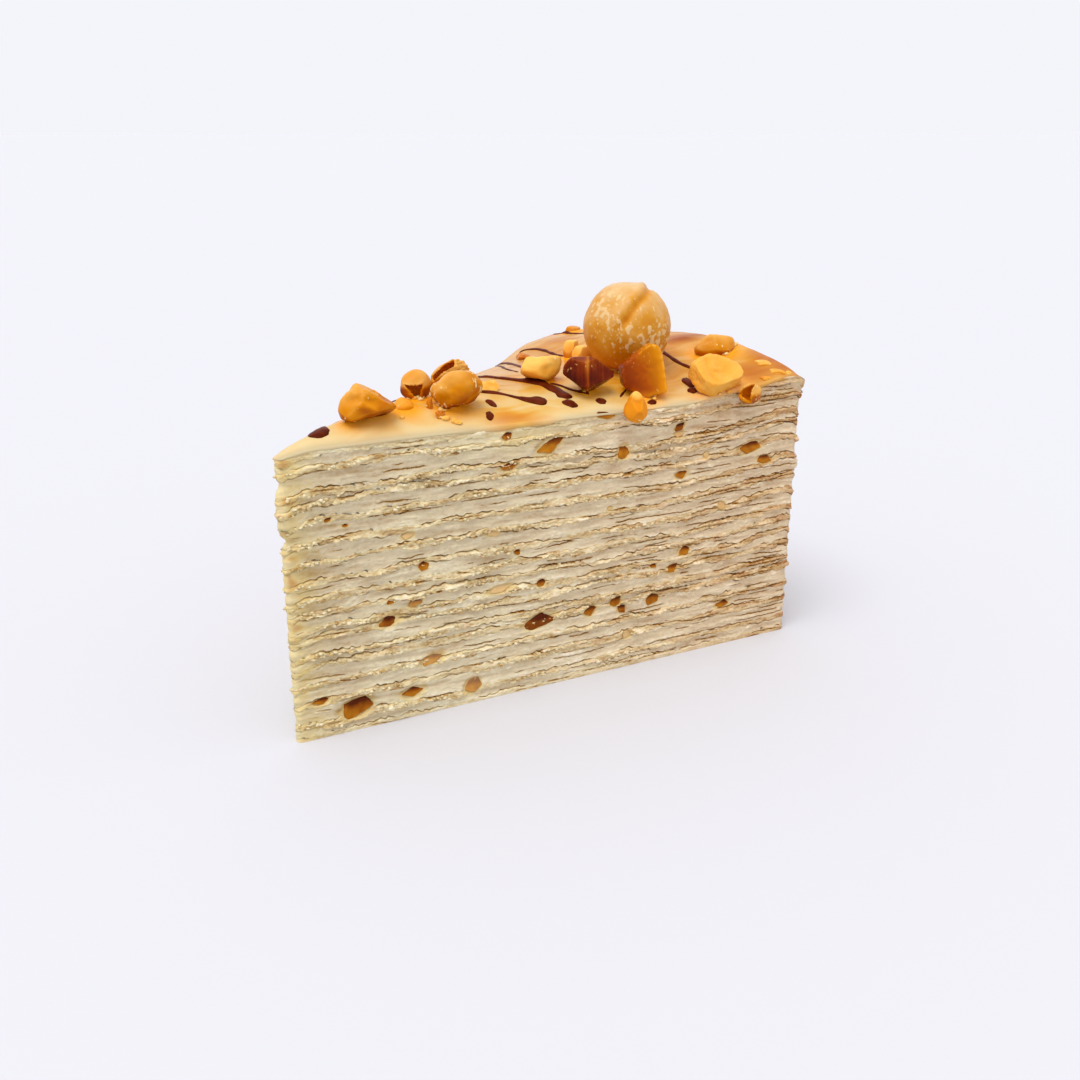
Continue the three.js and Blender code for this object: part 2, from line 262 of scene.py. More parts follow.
def finish_layer(material, colour, warm, relief, depth):
    """Warms a layer's colour toward the rim, and raises grain finer than its mesh to a depth in mm."""
    blush = paint("#fdf2ee")
    warmed = add(material, "Mix", {0: warm, 6: colour, 7: blush}, data_type="RGBA", blend_type="MULTIPLY")
    bump = add(material, "Bump", {"Height": relief, "Strength": 0.8, "Distance": depth * MM})
    add(material, "Principled", {"Base Color": warmed.outputs[2], "Normal": bump.outputs[0]})


# Crumb is matt and open, ivory inside, butter yellow at the soft tip and golden where it was fried.
crumb = new_material("egg batter crumb, fried and torn", Roughness=0.7, Specular_IOR_Level=0.12,
                     Subsurface_Weight=0.2, Subsurface_Radius=(1.0, 0.6, 0.3), Subsurface_Scale=0.4 * MM)
spot = add(crumb, "TexCoord").outputs["Object"]
shade_and_tone, toasted, buttery, warm = tint_parts(crumb)
pore_spot = add(crumb, "Mapping", {"Vector": spot, "Scale": (1, 1, 2.2)}).outputs["Vector"]
pores = add(crumb, "TexNoise", {
    "Vector": pore_spot, "Scale": 1 / (0.8 * MM), "Detail": 3.0, "Roughness": 0.6}).outputs["Fac"]
flake_spot = add(crumb, "Mapping", {"Vector": spot, "Scale": (1, 1, 4)}).outputs["Vector"]
flakes = add(crumb, "TexNoise", {
    "Vector": flake_spot, "Scale": 1 / (3.5 * MM), "Detail": 4.0, "Roughness": 0.6}).outputs["Fac"]
relief = add(crumb, "Math", {0: pores, 1: flakes}, operation="ADD").outputs[0]
# The first tint holds tone with painted light and shade: paler on proud crumb, darker in pits, tears and
# opened seams.
light_part = add(crumb, "Math", {0: shade_and_tone, 1: relief}, operation="ADD").outputs[0]
shade = add(crumb, "MapRange", {"Value": light_part, "From Min": 0.85, "From Max": 2.05}).outputs[0]
ivory = add(crumb, "ValToRGB", {"Fac": shade}, [
    (0.0, "#764408"), (0.2, "#a2742e"), (0.42, "#ccb383"), (0.68, "#e5d6ae"), (1.0, "#f4ecd6")]).outputs[0]
golden = add(crumb, "ValToRGB", {"Fac": shade}, [
    (0.0, "#734010"), (0.3, "#a8794a"), (0.7, "#cfac84"), (1.0, "#e2c9a6")]).outputs[0]
softened = buttered(crumb, ivory, buttery, [(0.0, "#e6d69e"), (0.5, "#dec482"), (1.0, "#c8923e")])
fried = add(crumb, "Mix", {0: toasted, 6: softened, 7: golden}, data_type="RGBA").outputs[2]
finish_layer(crumb, fried, warm, relief, 0.25)

# Cream is smooth and dense with a faint shine of butterfat, smeared along the cut by the knife.
cream = new_material("whipped pastry cream, cut with a knife", Roughness=0.5, Specular_IOR_Level=0.15,
                     Subsurface_Weight=0.25, Subsurface_Radius=(1.0, 0.7, 0.4), Subsurface_Scale=0.5 * MM)
spot = add(cream, "TexCoord").outputs["Object"]
shade_and_tone, toasted, buttery, warm = tint_parts(cream)
smear_spot = add(cream, "Mapping", {"Vector": spot, "Scale": (1, 1, 3)}).outputs["Vector"]
smears = add(cream, "TexNoise", {
    "Vector": smear_spot, "Scale": 1 / (1.8 * MM), "Detail": 6.0, "Roughness": 0.75}).outputs["Fac"]
# The first tint holds tone with painted light and shade: paler where the cream stands out, darker where it is
# sunk.
relief = add(cream, "Math", {0: smears, 1: 0.4, 2: shade_and_tone}, operation="MULTIPLY_ADD").outputs[0]
shade = add(cream, "MapRange", {"Value": relief, "From Min": 0.15, "From Max": 1.05}).outputs[0]
white = add(cream, "ValToRGB", {"Fac": shade}, [
    (0.0, "#784808"), (0.22, "#ac823e"), (0.5, "#cfbc9a"), (0.75, "#e4d7b5"), (1.0, "#f4eddc")]).outputs[0]
softened = buttered(cream, white, buttery, [(0.0, "#e8dba8"), (0.5, "#e0c886"), (1.0, "#c8923e")])
finish_layer(cream, softened, warm, smears, 0.28)

places, ways = outline(FRONT_STEP, OTHER_STEP)
columns = len(places)
radius, share = polar(places)
crest = top_height(places)
from_rim = RIM_RADIUS - radius
on_rim = np.where(from_rim < 0.5, 1, np.exp(-from_rim / 3))
near_rim = np.exp(-from_rim / 5)
at_tip = np.exp(-np.maximum(radius - 2.4, 0) / 3)
on_front = ways[:, 1] < -0.9

# Where each layer meets the next: a height, a way out, and where the knife has pulled the two apart.
stack_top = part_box(f"crepe_{CREPES:02d}")[1].z
layers = []
for number in range(1, CREPES + 1):
    layers += [f"crepe_{number:02d}", f"cream_{number:02d}"]
layers.pop()
levels = [0.0] + [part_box(layer)[1].z / stack_top for layer in layers]
heights, seams_out, gaps, opened = [], [], [], []


def bulge(level):
    """How far the tip stands out: a soft lobe high up, with a nick under it and another over it."""
    lobe = 0.45 * ease(0.732, 0.78, level) * (1 - ease(0.86, 0.905, level))
    nick = hump(level, 0.722, 0.011) + 0.5 * hump(level, 0.91, 0.014)
    return lobe - nick


def flare(level):
    """How far the rim stands out: a lip at the top, and a fold two thirds of the way up."""
    return 0.9 * ease(0.9, 1.0, level) + 0.8 * hump(level, 0.68, 0.03) - 0.05


for seam, level in enumerate(levels):
    shared = at_level(places, NEXT_GRAIN * (seam // 2))
    own = at_level(places, NEXT_GRAIN * seam)
    loose = 0 if seam in (0, len(layers)) else 1
    wander = 0.7 * grain(shared, (14, 14, 5), 1) + 0.35 * grain(shared, (5, 5, 5), 2)
    wander += 0.7 * near_rim * grain(shared, (4, 4, 5), 3)
    swollen = 0.35 * grain(shared, (9, 9, 5), 30) * (1 if seam % 2 else -1)
    ragged = 0.3 * grain(own, (3, 3, 5), 31) + 0.15 * np.tanh(5 * grain(own, (1.3, 1.3, 5), 4))
    ragged += 0.14 * grain(own, (0.6, 0.6, 5), 5)
    droop = 0.9 * at_tip * math.sqrt(max(4 * level * (1 - level), 0))
    heights.append(level * crest + loose * (wander + swollen + ragged) - droop)
    likely = (0.14 if seam % 2 else 0.0) + 0.15 * radius / RIM_RADIUS
    apart = ease(0.05, 0.35, grain(own, (9, 9, 5), 6) + likely)
    apart *= ease(-0.6, 0.0, grain(own, (2.4, 2.4, 5), 7))
    apart *= loose * (1 - 0.9 * at_tip) * (1 if seam < len(layers) - 2 else 0.3)
    apart *= 1 - 0.6 * ease(85, 100, radius) * ease(0.85, 0.95, level)
    opened.append(apart)
    rim_seam = 0.12 + 0.12 * grain(own, (6, 6, 5), 32)
    seams_out.append(0.05 + 0.1 * grain(own, (3, 3, 5), 8) - apart - loose * on_rim * rim_seam)
    gaps.append(0.03 + 0.13 * apart * (1 + 0.7 * grain(own, (2, 2, 5), 9)))
for seam in range(1, len(levels)):
    least = LEAST_CREPE if seam % 2 else LEAST_CREAM
    heights[seam] = np.maximum(heights[seam], heights[seam - 1] + least)
heights[-1] = crest
for seam in range(len(levels) - 2, 0, -1):
    least = LEAST_CREAM if seam % 2 else LEAST_CREPE
    heights[seam] = np.minimum(heights[seam], heights[seam + 1] - least)
seams_out = [
    seam_out + at_tip * bulge(height / crest) + on_rim * flare(height / crest)
    for seam_out, height in zip(seams_out, heights)
]


def closed_faces(rows, count):
    """Faces between closed rings of places, and a fan at each end to one of the two places after them."""
    here = np.arange(count)
    after = (here + 1) % count
    strip = np.column_stack([here, after, count + after, count + here])
    last_ring, ends = (rows - 1) * count, rows * count
    return [
        np.vstack([row * count + strip for row in range(rows - 1)]),
        np.column_stack([np.full(count, ends), after, here]),
        np.column_stack([np.full(count, ends + 1), last_ring + here, last_ring + after]),
    ]


def thin_line(field, rows, width):
    """1 along the line where a field of grain changes sign, fading to 0 over a width in mm."""
    slope = np.abs(np.gradient(field, axis=0) / np.maximum(np.gradient(rows, axis=0), 0.02))
    away = np.abs(field) / np.maximum(slope, 0.4)
    return 1 - ease(0.3 * width, width, away)


grain_places = []
for seam, layer in enumerate(layers):
    is_crepe = seam % 2 == 0
    low, high = heights[seam], heights[seam + 1]
    room = 0.42 * (high - low) / (np.maximum(gaps[seam], gaps[seam + 1]) + SEAM_LIP)
    room = np.minimum(1, room)
    start = low + room * (gaps[seam] + SEAM_LIP)
    end = high - room * (gaps[seam + 1] + SEAM_LIP)
    inner = max(2, round((np.median(high - low) - 0.4) / ROW_STEP))
    rows = [low, low + room * gaps[seam]]
    rows += [start + (end - start) * i / inner for i in range(inner + 1)]
    rows += [high - room * gaps[seam + 1], high]
    rows = np.array(rows)
    wall = np.dstack([np.broadcast_to(places, (len(rows), columns, 2)), rows])
    rise = (rows - low) / (high - low)
    rounded = 1 - np.abs(2 * rise - 1) ** 3
    level = rows / crest

    # The knife smears cream over the crumb here and there, and draws fine tears along the layers.
    smeared = ease(-0.1, 0.5, grain(wall, (13, 13, 2.2), 10) + 0.1 * radius / RIM_RADIUS)
    if layer == layers[-1]:
        smeared = np.maximum(smeared, 1 - 0.25 * ease(50, 90, radius))
    if layer == layers[0]:
        smeared = np.maximum(smeared, 0.8)
    bent = rows + 0.7 * grain(wall, (11, 11, 3), 11) + 0.16 * grain(wall, (2.2, 2.2, 1.2), 12)
    bent += 0.1 * grain(wall, (0.9, 0.9, 0.8), 33)
    tear = thin_line(np.sin(math.pi * bent / TEAR_SPACING), rows, TEAR_WIDTH)
    long_ones = grain(wall, (17, 17, 0.95), 13) + 0.25 * grain(wall, (3, 3, 0.9), 34)
    tear *= ease(0.3, 0.42, long_ones + 0.34 * radius / RIM_RADIUS - (0.04 if is_crepe else 0.12))

    # It also drags the cream into thin flat plates, which overlap like trowelled plaster.
    plates = 0
    for size, step, seed in (((9, 9, 1.0), 0.08, 35), ((4, 4, 0.7), 0.05, 36)):
        field = 3.2 * (grain(wall, size, seed) + 0.3 * grain(wall, (0.8, 0.8, 0.5), seed + 4))
        plates = plates + step * (np.floor(field) + ease(0.72, 1.0, field - np.floor(field)))
    lumps = np.abs(grain(wall, (1.3, 1.3, 0.8), 14)) + 0.6 * np.abs(grain(wall, (0.6, 0.6, 0.42), 15))
    # The pale tint is tone and painted light and shade: proud crumb and cream are made paler and sunken parts
    # darker.
    if is_crepe:
        ragged_out = 0.16 + 0.3 * grain(wall, (6, 6, 2), 16) + 0.32 * lumps
        ragged_out *= 1 - 0.5 * ease(85, 112, radius)
        ragged_out += 0.5 * ease(0.15, 0.6, grain(wall, (4, 4, 2), 17)) * rounded
        smooth_out = 0.03 + 0.06 * grain(wall, (3, 3, 1), 18)
        out = ragged_out + (smooth_out - ragged_out) * 0.8 * smeared + 0.6 * plates * (1 - on_rim)
        out += on_rim * (0.05 + 0.14 * grain(wall, (7, 7, 1.6), 19)) * rounded
        pale = 0.47 + 0.6 * (ragged_out - 0.35)
        pale += (0.5 - pale) * 0.6 * smeared + 0.2 * plates
    else:
        out = -0.14 * rounded + 0.12 * grain(wall, (9, 9, 3), 21) + 0.05 * grain(wall, (1.5, 1.5, 0.7), 22)
        crumbed = ease(0.1, 0.5, grain(wall, (6, 6, 1.2), 23) + 0.3 * radius / RIM_RADIUS)
        out += 0.22 * crumbed * lumps + 0.7 * plates * (1 - 0.7 * on_rim)
        out += on_rim * (0.05 + 0.14 * grain(wall, (6, 6, 2), 24)) * rounded
        pale = 0.52 + 0.7 * (out + 0.1)

    # At the tip both kinds are soft and pressed into one scalloped edge, with a lobe that hangs out.
    soft_tip = 0.85 * ease(0.15, 0.8, at_tip)
    scallop = -0.3 + 0.25 * rounded
    scallop += 0.36 * grain(wall, (5, 5, 1.5), 28) + 0.2 * grain(wall, (2, 2, 0.8), 37)
    out += soft_tip * (scallop - out)
    out += at_tip * bulge(level) + on_rim * flare(level)
    out -= TEAR_DEPTH * tear * (1 - at_tip)
    out[0] = seams_out[seam]
    out[-1] = seams_out[seam + 1]
    out[1] = 0.7 * out[1] + 0.3 * np.maximum(seams_out[seam], -0.2)
    out[-2] = 0.7 * out[-2] + 0.3 * np.maximum(seams_out[seam + 1], -0.2)

    # Tears, opened seams and the seams at the rim are darkened with painted shade, the lower cut is lighter,
    # and the cut behind the tip darker.
    pale = pale - 0.5 * tear * (1 - at_tip)
    pale += 0.05 * (1 - ease(0.2, 0.75, level)) * ease(12, 30, radius) * (1 - ease(80, 100, radius))
    pale -= 0.05 * (1 - ease(12, 30, radius)) + 0.08 * ease(2.5, 4.5, radius) * (1 - ease(5, 11, radius))
    pale -= 0.08 * ease(80, 90, radius) * ease(0.8, 0.92, level)
    if layer in (layers[0], layers[-1]):
        pale += 0.12
    pale[0] -= 0.8 * opened[seam] + 0.4 * on_rim
    pale[-1] -= 0.8 * opened[seam + 1] + 0.4 * on_rim

    # Each bit has its own socket, sunk in the crumb. Its upper edge stands in shade, and syrup has
    # soaked the crumb below it.
    soaked = 0
    for x, z, width, height, lean, _ in BITS:
        if z + width < rows.min() or z - width > rows.max():
            continue
        across, up = turned(places[:, 0] - x, rows - z, -lean)
        across, up = across / width * 2, up / height * 2
        off = np.where(on_front, np.hypot(across, up), 9)
        out += (1 - ease(0.75, 1.25, off)) * (-SOCKET_DEPTH - out)
        pale = pale - 0.35 * hump(off, 1.05, 0.25) * ease(-0.4, 0.6, up)
        reach = 0.5 / min(width, height) + 0.15
        syrup = hump(np.maximum(off - 0.9, 0), 0, reach) * (0.6 - 0.3 * ease(-0.5, 0.8, up))
        soaked = np.maximum(soaked, syrup)
    out *= ease(-0.2, 1.3, rows)
    wall[..., :2] += out[..., None] * ways

    # Fried brown shows at the rim and in patches of the cut, and butter yellow at the tip and high up.
    toasted = on_rim * ease(-0.8, 0.3, grain(wall, (6, 6, 1.4), 25))
    toasted += 0.5 * ease(0.2, 0.8, grain(wall, (5, 5, 0.9), 26) + 0.35 * ease(50, 112, radius))
    pale += ease(0.6, 1, at_tip) * (0.6 - pale) * 0.6
    buttery = ease(0.2, 1.0, at_tip**0.6 + 0.3 * grain(wall, (4, 4, 1.5), 27)) * 0.4
    honey = ease(-0.05, 0.5, grain(wall, (4, 4, 2.2), 29)) * ease(0.25, 0.7, at_tip)
    buttery += 0.55 * honey * (1 - 0.7 * ease(0.8, 1, at_tip)) * ease(0.05, 0.6, level)
    buttery += 0.14 * ease(2.5, 4.5, radius) * (1 - ease(6, 12, radius))
    high_up = ease(0.86, 0.97, level + 0.05 * grain(wall, (6, 6, 4), 38))
    buttery += 0.35 * hump(radius, 50, 12) * high_up
    buttery = np.maximum(buttery, soaked)
    warm = np.broadcast_to(ease(20, 110, radius), pale.shape)
    tints = np.dstack([pale, toasted, buttery, warm]).reshape(-1, 4)

    ends = [np.append(MIDDLE, levels[end] * top_height(MIDDLE)) for end in (seam, seam + 1)]
    if is_crepe:
        torn = (1 - smeared) * (1 - ease(85, 112, radius)) * chance.random(pale.shape)
        torn = np.argwhere(torn > 1 - GRAIN_SHARE)
        torn = torn[(torn[:, 0] > 1) & (torn[:, 0] < len(rows) - 2) & (rows[tuple(torn.T)] > 1.2)]
        grain_places.append(np.hstack([wall[tuple(torn.T)], ways[torn[:, 1]]]))
    rings = [wall]
    if layer == layers[-1]:
        for inward in (0.04, 0.12, 0.25, 0.4, 0.6, 0.8):
            ring = wall[-1, :, :2] + inward * (MIDDLE - wall[-1, :, :2])
            rings.append(np.column_stack([ring, top_height(ring)])[None])
    wall = np.vstack(rings)
    points = np.vstack([wall.reshape(-1, 3), ends])
    tints = np.vstack([tints, [[0.5, 0, 0, 0.5]] * (len(points) - len(tints))])
    faces = closed_faces(len(wall), columns)
    piece = make_piece(layer + "_sliced", points, faces, crumb if is_crepe else cream, tints)
    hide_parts(layer)

# Grains of crumb that the knife has pulled loose cling to the torn crepes.
GRAIN_DETAIL = 1
grain_places = np.vstack(grain_places)


def ball_of(detail):
    """Even directions all round, and the three-sided faces between them."""
    made = bmesh.new()
    bmesh.ops.create_icosphere(made, subdivisions=detail, radius=1)
    ways = np.array([corner.co[:] for corner in made.verts])
    faces = np.array([[corner.index for corner in face.verts] for face in made.faces])
    made.free()
    return ways, faces


def copied(faces, corners, count):
    """The faces of many like meshes, one after another, each with this many corners."""
    return (np.arange(count)[:, None, None] * corners + faces).reshape(-1, 3)


ball, ball_faces = ball_of(GRAIN_DETAIL)
corners = len(ball)
count = len(grain_places)
sizes = chance.uniform(0.18, 0.42, (count, 1, 1)) * np.array([1.3, 1.0, 0.75])
lumpy = ball * (1 + 0.35 * chance.normal(size=(count, corners, 1)).clip(-1, 1))
spun = np.linalg.qr(chance.normal(size=(count, 3, 3)))[0]
grains = np.einsum("nij,nkj->nki", spun, lumpy) * sizes
grains = grains + grain_places[:, None, :3] + 0.05 * at_level(grain_places[:, 3:])[:, None]
grain_faces = copied(ball_faces, corners, count)
mirrored = np.repeat(np.linalg.det(spun) < 0, len(ball_faces))
grain_faces[mirrored] = grain_faces[mirrored][:, ::-1]
warm = ease(20, 110, polar(grain_places[:, :3])[0])
tints = np.column_stack([chance.uniform(0.3, 0.75, count), np.zeros(count), np.full(count, 0.05), warm])
tints = np.repeat(tints, corners, axis=0)
make_piece("crumb_grains", grains.reshape(-1, 3), [grain_faces], crumb, tints)


# --- The nuts and caramel on top -----------------------------------------------------------------------
# Roasted nuts, halved and whole, and chunks of boiled caramel, broken by hand and rolled in syrup.
# Each is a ball cut back by flat breaks, softened by its coat, with grains of sugar stuck to it.

NUT_DETAIL = 6
WHOLE_NUT_DETAIL = 7
SUGAR_STANDS = 0.09


def aim(heading, rise):
    """The way that a heading from +X and a rise, both in degrees, point."""
    heading, rise = math.radians(heading), math.radians(rise)
    return np.array([math.cos(rise) * math.cos(heading), math.cos(rise) * math.sin(heading), math.sin(rise)])


def soft_least(reach, softness):
    """The least of several distances, with the corners between them rounded off."""
    return -softness * np.log(np.exp(-reach / softness).sum(axis=0))


def broken(ways, breaks, softness):
    """How far a ball reaches when flat breaks cut it back, and 1 where two breaks meet in an edge."""
    reach = [np.ones(len(ways))]
    for heading, rise, depth in breaks:
        reach.append(depth / np.maximum(ways @ aim(heading, rise), 0.1))
    reach = np.array(reach)
    least, next_least = np.partition(reach, 1, axis=0)[:2]
    return soft_least(reach, softness), np.exp(-(next_least - least) / 0.09)


def set_down(points, node, turn=(0, 0, 0)):
    """Turns a piece by degrees and fits it to the box of its CAD node."""
    points = points @ np.array(Euler(np.radians(turn), "ZYX").to_matrix()).T
    low, high = [np.array(corner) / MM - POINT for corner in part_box(node)]
    now_low, now_high = points.min(axis=0), points.max(axis=0)
    return low + (points - now_low) * (high - low) / (now_high - now_low)


def sugar(points, size, least, seed):
    """1 on grains of sugar that stick in patches, and 0 between them."""
    patches = 0.3 * grain(points, 0.3, seed + 2) + 0.7 * grain(points, 4.0, seed)
    return ease(least, least + 0.16, grain(points, size, seed + 1) + patches)


def sweet_tints(glow, sugared=0, lit=0):
    """What a sweet's material reads: how light it is, where sugar sticks and where light comes through."""
    return np.column_stack([glow, sugared + 0 * glow, lit + 0 * glow, 1 + 0 * glow])


# Syrup-coated nut and boiled caramel are clear. Their colours are painted with light and shade: lighter on
# top and at the edges, deep amber low down, and glowing orange where light would come through.
# Each has its colours from dark to light, its sugar colour and how rough it is.
SWEETS = {
    "amber caramel, boiled, poured and broken": (
        [(0.0, "#702800"), (0.25, "#a65200"), (0.55, "#cc7e04"), (1.0, "#dca04a")], "#e6c284", 0.25),
    "pale nut, roasted and glazed": (
        [(0.0, "#a04c04"), (0.3, "#c87412"), (0.65, "#e29c36"), (1.0, "#ecb658")], "#f0d8a0", 0.38),
    "whole nut, roasted and glazed": (
        [(0.0, "#8a4000"), (0.3, "#b86c06"), (0.6, "#cb8c2c"), (1.0, "#d5b07c")], "#dcb982", 0.3),
    "brown caramel, burnt and broken": (
        [(0.0, "#400c00"), (0.35, "#661c00"), (0.7, "#8e3e00"), (1.0, "#b4701e")], "#cc9250", 0.22),
    "honeyed nut, chopped and cut through": (
        [(0.0, "#521c00"), (0.3, "#8e4a04"), (0.6, "#ba7614"), (1.0, "#d2a252")], "#e0c088", 0.3),
    "amber brittle, poured thin and snapped": (
        [(0.0, "#7c2800"), (0.35, "#a44a00"), (0.7, "#ca7c00"), (1.0, "#e0a83c")], "#e2b060", 0.25),
}
sweets = {}
for name, (colours, sugar_colour, roughness) in SWEETS.items():
    sweet = new_material(name, Specular_IOR_Level=0.08, Subsurface_Weight=0.12,
                         Subsurface_Radius=(1.0, 0.4, 0.12), Subsurface_Scale=0.9 * MM)
    spot = add(sweet, "TexCoord").outputs["Object"]
    light_part, sugared, lit_through, _ = tint_parts(sweet)
    clouds = add(sweet, "TexNoise", {"Vector": spot, "Scale": 1 / (2.2 * MM), "Detail": 3.0}).outputs["Fac"]
    clouded = add(sweet, "Math", {0: clouds, 1: 0.22, 2: light_part}, operation="MULTIPLY_ADD").outputs[0]
    level = add(sweet, "Math", {0: clouded, 1: 0.11}, operation="SUBTRACT").outputs[0]
    body = add(sweet, "ValToRGB", {"Fac": level}, colours).outputs[0]
    through, sugar_white = paint("#ee940c"), paint(sugar_colour)
    glowing = add(sweet, "Mix", {0: lit_through, 6: body, 7: through}, data_type="RGBA").outputs[2]
    speckled = add(sweet, "Mix", {0: sugared, 6: glowing, 7: sugar_white}, data_type="RGBA").outputs[2]
    rough = add(sweet, "MapRange", {"Value": sugared, "To Min": roughness, "To Max": 0.6}).outputs[0]
    dimples = add(sweet, "TexNoise", {"Vector": spot, "Scale": 1 / (1.1 * MM), "Detail": 4.0}).outputs["Fac"]
    bump = add(sweet, "Bump", {"Height": dimples, "Strength": 0.5, "Distance": 0.16 * MM}).outputs[0]
    add(sweet, "Principled", {"Base Color": speckled, "Roughness": rough, "Normal": bump})
    sweets[name.split(",")[0]] = sweet

nut_points = []


def put_on_top(node, ending, points, faces, sweet, tints):
    """Makes a piece of the topping in place of its node, and keeps its points for the glaze and crumbs."""
    made = make_piece(f"{node}_{ending}", points, faces, sweets[sweet], tints)
    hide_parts(node)
    nut_points.append((node, points))


# The broken chunks. A break is the heading and rise that it faces, in degrees, and how far it is from
# the middle, where the ball's own radius is 1.
TIP_CHUNK = [(142, 43, 0.72), (350, 53, 0.43), (151, 3, 0.93), (292, -61, 0.6), (212, 29, 0.55),
             (279, 34, 0.5), (248, 2, 0.62), (62, -2, 0.6)]
TIP_BIT = [(332, 45, 0.62), (190, 35, 0.75), (242, 40, 0.8)]
ROUND_NUT = [(332, -42, 0.78), (152, 48, 0.76), (62, 60, 0.86), (259, -70, 0.85), (215, -10, 0.9),
             (49, 33, 0.8)]
BLOCK = [(62, 76, 0.62), (143, 25, 0.86), (194, -62, 0.62), (314, -42, 0.8), (225, 49, 0.7),
         (282, 21, 0.72)]
GEM = [(62, 70, 0.75), (356, 48, 0.655), (305, -52, 0.7), (173, -45, 0.67), (152, 0, 0.97),
       (214, 17, 0.62), (283, 21, 0.55), (242, 73, 0.74), (62, -20, 0.7)]
BAR = [(143, 41, 0.8), (38, 69, 0.72), (242, -70, 0.7), (336, 11, 0.95), (222, 30, 0.82), (280, 34, 0.76)]
SLIVER = [(270, 20, 0.75), (350, 10, 0.8), (90, 15, 0.75), (180, 40, 0.7), (0, 90, 0.6), (0, -90, 0.5)]
# Each has its node, material and breaks, then how soft its edges are, its turn about the upright in
# degrees, its lumps in mm, the least grain that takes sugar, and how light it is.
CHUNKS = [
    ("caramel_chunk_tip", "amber caramel", TIP_CHUNK, 0.08, 0, 0.6, 0.74, 0.48),
    ("nut_bit_tip", "amber caramel", TIP_BIT, 0.12, 0, 0.3, 0.8, 0.7),
    ("round_nut", "amber caramel", ROUND_NUT, 0.14, 0, 0.8, 0.62, 0.5),
    ("nut_block", "pale nut", BLOCK, 0.1, 0, 0.5, 0.95, 0.7),
    ("dark_caramel", "brown caramel", GEM, 0.025, 0, 0.15, 0.8, 0.36),
    ("nut_sliver_back", "pale nut", SLIVER, 0.05, 30, 0.15, 0.95, 0.6),
    ("nut_sliver_front", "pale nut", SLIVER, 0.05, 10, 0.15, 0.95, 0.55),
    ("rim_nut_block", "amber caramel", BAR, 0.08, 0, 0.4, 0.86, 0.56),
    ("back_caramel", "amber caramel", SLIVER, 0.06, 40, 0.2, 0.9, 0.15),
]
RIGHT = aim(-27.5, 0)
ways_round, way_faces = ball_of(NUT_DETAIL)
for number, (node, kind, breaks, softness, turn, lump, sugar_least, light) in enumerate(CHUNKS):
    seed = 40 + 3 * number
    reach, edge = broken(ways_round, breaks, softness)
    low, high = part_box(node)
    size = (high.x - low.x) / MM / 2
    lumps = grain(ways_round * size, 3.4, seed) + 0.15 * grain(ways_round * size, 1.2, seed + 1)
    reach = reach + lump / size * lumps
    points = set_down(ways_round * reach[:, None] * size, node, (0, 0, turn))
    middle = points.mean(axis=0)
    grains_on = sugar(points, (0.45, 0.6, 0.7), sugar_least, seed + 2)
    points += SUGAR_STANDS * grains_on[:, None] * unit(points - middle)
    height = (points[:, 2] - points[:, 2].min()) / np.ptp(points[:, 2])
    to_right = (points - middle) @ RIGHT / size
    # Painted light and shade: lighter at the top and on the edges, darker low down and toward the right.
    glow = light + 0.2 * (edge - 0.35) + 0.9 * (height - 0.5) - 0.1 * to_right
    glow += 0.25 * grain(points, 3.0, seed + 2)
    if node == "dark_caramel":
        across = points @ RIGHT
        stripes = np.column_stack([across, 0 * across, 0.06 * points[:, 2]])
        # Fine streaks, a painted highlight down the middle, less of the painted light at the top, and painted
        # shade on the left.
        glow += 0.18 * grain(stripes, (0.5, 1, 1), seed) + 0.24 * hump(across, middle @ RIGHT - 0.1, 0.4)
        glow -= 0.5 * (height - 0.5) + 0.3 * ease(0.1, -0.7, to_right)
    tints = sweet_tints(glow, grains_on, 0.6 if node == "nut_bit_tip" else 0)
    put_on_top(node, "glazed", points, [way_faces], kind, tints)

# The whole nut has a fold where its two halves meet, a groove below it darkened by painted shade, and sugar
# in patches.
# A patch is the way that it faces from the nut's middle, and how wide it is.
SEAM_WAY = np.array([0.568, -0.560, -0.604])
SEAM_OFF = -0.145
SEAM_RUN = np.array([0.463, -0.146, 0.461])
NUT_RADIUS = 9.3
SUGARY = [((-0.65, -0.15, 0.5), 0.5), ((-0.75, -0.62, 0.1), 0.45), ((-0.1, -0.95, -0.25), 0.5),
          ((0.45, -0.85, -0.2), 0.45), ((0.8, -0.6, 0.05), 0.4)]
nut_ways, nut_faces = ball_of(WHOLE_NUT_DETAIL)
along_seam = nut_ways @ SEAM_RUN / np.linalg.norm(SEAM_RUN)
past = nut_ways @ SEAM_WAY - SEAM_OFF + 0.1 * along_seam**2 + 0.05 * grain(nut_ways, 0.6, 70)
run = ease(-0.45, 0.1, along_seam) * ease(-0.6, 0, -nut_ways[:, 1] + 0.2)
fold = run * (0.045 * hump(past, -0.06, 0.12) - 0.05 * hump(past, 0.1, 0.1))
reach = 1 + fold + 0.03 * grain(nut_ways, 0.7, 71) + 0.012 * grain(nut_ways, 0.25, 72)
points = set_down(nut_ways * reach[:, None] * NUT_RADIUS, "whole_nut")
patch = sum(hump(np.linalg.norm(nut_ways - way, axis=1), 0, size) for way, size in SUGARY)
coarse = grain(points, (1.0, 1.0, 1.6), 73) + 0.34 * patch - 0.06 + 0.35 * grain(points, 3.5, 74)
fine = grain(points, (0.5, 0.5, 0.6), 75) + 0.28 * patch
grains_on = np.maximum(0.85 * ease(0.56, 0.68, coarse), 0.7 * ease(0.62, 0.74, fine))
points += SUGAR_STANDS * grains_on[:, None] * nut_ways
